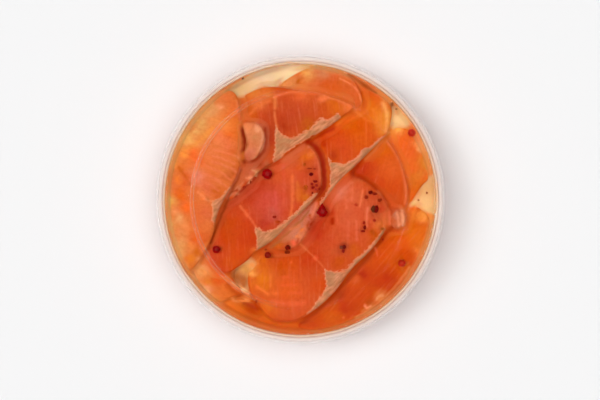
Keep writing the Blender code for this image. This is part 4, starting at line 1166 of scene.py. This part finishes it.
PEPPERCORNS = {
    "peppercorn_1": shade(164, 0, 6), "peppercorn_2": shade(160, 0, 4), "peppercorn_3": shade(150, 4, 4),
    "peppercorn_4": shade(200, 42, 20), "peppercorn_5": shade(196, 46, 20), "peppercorn_6": shade(144, 22, 6),
}
POINTED = "peppercorn_2"
WRINKLE = 0.07
pepper, tree = new_material("peppercorn_shell")
place = tree.nodes.new("ShaderNodeTexCoord")
wrinkles = add_node(tree, "ShaderNodeTexNoise", {"Vector": place.outputs["Object"], "Scale": 900})
# The shell is darker where its wrinkles dip.
darker_in_dips = ramp(tree, wrinkles.outputs["Fac"], [(0.35, (0.72, 0.72, 0.72)), (0.65, (1.0, 1.0, 1.0))])
stained = mixed(tree, 1.0, carried(tree, "flesh"), darker_in_dips, "MULTIPLY")
shell = moist_body(tree, stained, 0.45, 0.12, (1.0, 0.2, 0.1), 0.8)
add_relief(tree, shell, wrinkles.outputs["Fac"], 0.4, 0.1)
finish(tree, shell)
for node, tint in PEPPERCORNS.items():
    corn = fine_copy(node, node.replace("peppercorn", "pink_peppercorn"), 0.16, 3)
    places = corners_of(corn)
    middle = places.mean(axis=0)
    out = places - middle
    folds = np.sin(out @ np.array([3.1, 1.2, 2.0]) + 1) * np.sin(out @ np.array([-1.4, 2.9, 1.1]))
    places = middle + out * (1 + WRINKLE * folds[:, None])
    if node == POINTED:
        tip = np.clip(out[:, 1] / 2.1, 0, 1)
        places[:, 0] = middle[0] + (places[:, 0] - middle[0]) * (1 - 0.7 * tip)
        places[:, 1] += 1.1 * tip ** 2
    move_corners(corn, places)
    # Painted light: the corn's outer band, whose steep sides fall into shade, is painted brighter to offset
    # it.
    outer = np.hypot(out[:, 0], out[:, 1]) / np.ptp(places[:, 0]) * 2
    rim = np.clip((outer - 0.55) / 0.35, 0, 1)[:, None]
    carry_colour(corn, np.array(tint) * (1 + 0.25 * rim))
    corn.data.materials.append(pepper)
    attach(corn, "root")
    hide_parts(node)


# ---- Crushed pepper ----
# Chips of coarsely crushed pepper, which cling to the slices where they were sprinkled. They are dry
# and dull, and one chip shows several tones.

draw = np.random.default_rng(7)
chips = []
for place, width, depth, tint in CHIPS:
    cell = tuple(cells_of(np.array(place)))
    ground = max(slice_tops[cell], level[cell])
    size = min(width, depth)
    bpy.ops.mesh.primitive_ico_sphere_add(subdivisions=3, radius=0.5 * MM,
                                          location=(place[0] * MM, place[1] * MM, (ground + 0.10) * MM))
    chip = bpy.context.active_object
    chip.scale = (width, depth, 0.45 * size)
    bpy.ops.object.transform_apply(location=True, rotation=True, scale=True)
    bpy.ops.object.mode_set(mode="EDIT")
    bpy.ops.mesh.select_all(action="SELECT")
    bpy.ops.transform.vertex_random(offset=0.42 * size * MM, seed=int(draw.integers(1000)))
    bpy.ops.mesh.vertices_smooth(factor=0.5, repeat=1)
    bpy.ops.object.mode_set(mode="OBJECT")
    carry_colour(chip, np.array(shade(*tint)) * draw.uniform(0.7, 1.5, (len(chip.data.vertices), 1)))
    chips.append(chip)
bpy.ops.object.select_all(action="DESELECT")
for chip in chips:
    chip.select_set(True)
bpy.context.view_layer.objects.active = chips[0]
bpy.ops.object.join()
pepper_chips = bpy.context.active_object
pepper_chips.name = pepper_chips.data.name = "crushed_pepper"
chip_look, tree = new_material("crushed_pepper")
finish(tree, add_node(tree, "ShaderNodeBsdfPrincipled", {
    "Base Color": carried(tree, "flesh"), "Roughness": 0.7, "Specular IOR Level": 0.05,
}))
pepper_chips.data.materials.append(chip_look)
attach(pepper_chips, "root")


# ---- Clear oil ----
# Pale yellow oil, poured in up to the lid over and round the slices. It reaches just into the wall,
# so that no air shows between.

OIL_LEVEL = 30.45
OIL_FOOT = 1.8
INTO_WALL = 0.08
OIL_PROFILE = [
    (0, OIL_FOOT), (42.35, OIL_FOOT), (BORE_FOOT[0] + INTO_WALL, BORE_FOOT[1]), (49.56, OIL_LEVEL),
    (0, OIL_LEVEL),
]
clear_oil = turned("clear_oil", OIL_PROFILE, 0.1)
oil_look, tree = new_material("clear_oil")
place = tree.nodes.new("ShaderNodeTexCoord")
swirl = add_node(tree, "ShaderNodeTexNoise", {"Vector": place.outputs["Object"], "Scale": 60})
tones = ramp(tree, swirl.outputs["Fac"], [(0.3, (1.0, 0.99, 0.95)), (0.7, (1.0, 0.985, 0.90))])
finish(tree, add_node(tree, "ShaderNodeBsdfTransparent", {"Color": tones}))
clear_oil.data.materials.append(oil_look)
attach(clear_oil, "root")


# ---- Lid ----
# A thin lid of the same clear plastic. Its panel drops into the mouth, a hollow bead clips over the
# flange, and one raised ring stiffens it and lets lids stack.

PANEL_UNDER = 30.7
PANEL_TOP = 31.4
RING_TOP = 32.33
LID_TOP = 33.7
SKIRT_BORE = 51.1
SKIRT_FOOT = 28.0
# Out under the panel and its ring, up into the bead, down and round the skirt, and back over the top.
LID_PROFILE = [
    (0, PANEL_UNDER), (38.2, PANEL_UNDER), (38.5, 31.6), (39.3, 31.6), (39.6, PANEL_UNDER),
    (48.7, PANEL_UNDER), (49.3, 31.1), (49.3, 32.4), (49.9, 32.9), (50.7, 32.9), (SKIRT_BORE, 32.4),
    (SKIRT_BORE, SKIRT_FOOT), (LID_RADIUS, SKIRT_FOOT), (LID_RADIUS, 33.0), (51.3, LID_TOP),
    (49.5, LID_TOP), (49.2, 33.4), (49.05, 32.6), (48.55, 32.4), (48.35, 31.6), (48.1, PANEL_TOP),
    (39.95, PANEL_TOP), (39.65, 32.2), (39.3, RING_TOP), (38.4, RING_TOP), (38.05, 32.2),
    (37.75, PANEL_TOP), (0, PANEL_TOP),
]
# The colour of the painted highlights on the ring.
RING_GLINT_TINT = shade(255, 166, 126)
# The milkiness, its tint and the painted glints, by radius. Where the panel meets the bead, a thin
# dark ring is painted shade, and the bright line beside it is partly the plastic's milk, seen
# edgeways, and partly painted highlight. The pink tint of the milk further out is painted light
# bounced from the fish, and the glints are painted highlights on the shoulders of the ring.
LID_MILK = [
    (0, 0.0), (48.15, 0.0), (48.35, 0.06), (48.5, 0.10), (48.62, 0.50), (49.0, 0.50), (49.15, 0.20),
    (49.5, 0.36), (50.2, 0.36), (50.6, 0.30), (51.1, 0.24), (51.4, 0.08), (52.0, 0.02),
]
LID_TINTS = [
    (0, RING_GLINT_TINT), (45, RING_GLINT_TINT), (48.2, shade(150, 84, 50)), (48.4, shade(160, 90, 56)),
    (48.6, shade(240, 190, 150)), (48.85, shade(255, 224, 194)), (49.3, shade(240, 206, 186)),
    (49.9, shade(246, 226, 212)), (50.6, shade(236, 222, 214)), (52.0, shade(236, 230, 228)),
]
RING_GLINTS = [
    (0, 0.0), (38.05, 0.0), (38.2, 0.55), (38.42, 0.07), (39.2, 0.07), (39.4, 0.45), (39.62, 0.0),
    (52.0, 0.0),
]
lid = turned("clear_lid", LID_PROFILE, 0.18)
lid.data.materials.append(clear_plastic("lid_plastic", LID_MILK, LID_TINTS, RING_GLINTS))
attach(lid, "root")
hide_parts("lid")


# ---- Table, light and camera ----
# A plain white table. A ring of light overhead and one soft sun from the left light it, and the
# camera looks straight down on the lid.

TABLE_WHITE = (0.84, 0.84, 0.843, 1)
# How bright the sky is at each height, from 0 at the horizon to 1 straight overhead.
RING_OF_LIGHT = [(0.20, 0.06), (0.35, 0.01), (0.90, 0.01), (0.94, 1.0), (0.988, 1.0), (0.993, 0.0)]
RING_STRENGTH = 5.65
SUN_WAY = (-0.47, 0.07, 0.879)
SUN_SPREAD = math.radians(20)
SUN_STRENGTH = 0.98
CAMERA_PLACE = (-0.00018, -0.00025, 0.538)

bpy.ops.mesh.primitive_plane_add(size=6, location=(0, 0, 0))
table = bpy.context.active_object
table.name = "table"
surface, tree = new_material("white_table")
finish(tree, add_node(tree, "ShaderNodeBsdfPrincipled", {
    "Base Color": TABLE_WHITE, "Roughness": 0.8, "Specular IOR Level": 0.0,
}))
table.data.materials.append(surface)

world = bpy.data.worlds.new("studio")
bpy.context.scene.world = world
world.use_nodes = True
tree = world.node_tree
tree.nodes.clear()
way = tree.nodes.new("ShaderNodeTexCoord")
split = add_node(tree, "ShaderNodeSeparateXYZ", {0: way.outputs["Generated"]})
sky = ramp(tree, split.outputs["Z"], [(height, (grey,) * 3) for height, grey in RING_OF_LIGHT])
back = add_node(tree, "ShaderNodeBackground", {"Color": sky, "Strength": RING_STRENGTH})
add_node(tree, "ShaderNodeOutputWorld", {"Surface": back.outputs[0]})

sun = bpy.data.lights.new("window", "SUN")
sun.angle = SUN_SPREAD
sun.energy = SUN_STRENGTH
window = bpy.data.objects.new("window", sun)
window.rotation_euler = Vector(SUN_WAY).to_track_quat("Z", "Y").to_euler()
bpy.context.scene.collection.objects.link(window)

view = bpy.data.cameras.new("camera")
view.lens = 85
view.sensor_width = 36
camera = bpy.data.objects.new("camera", view)
camera.location = CAMERA_PLACE
bpy.context.scene.collection.objects.link(camera)
bpy.context.scene.camera = camera
bpy.context.scene.view_settings.view_transform = "Standard"
bpy.context.scene.view_settings.look = "None"
bpy.context.scene.cycles.transparent_max_bounces = 48
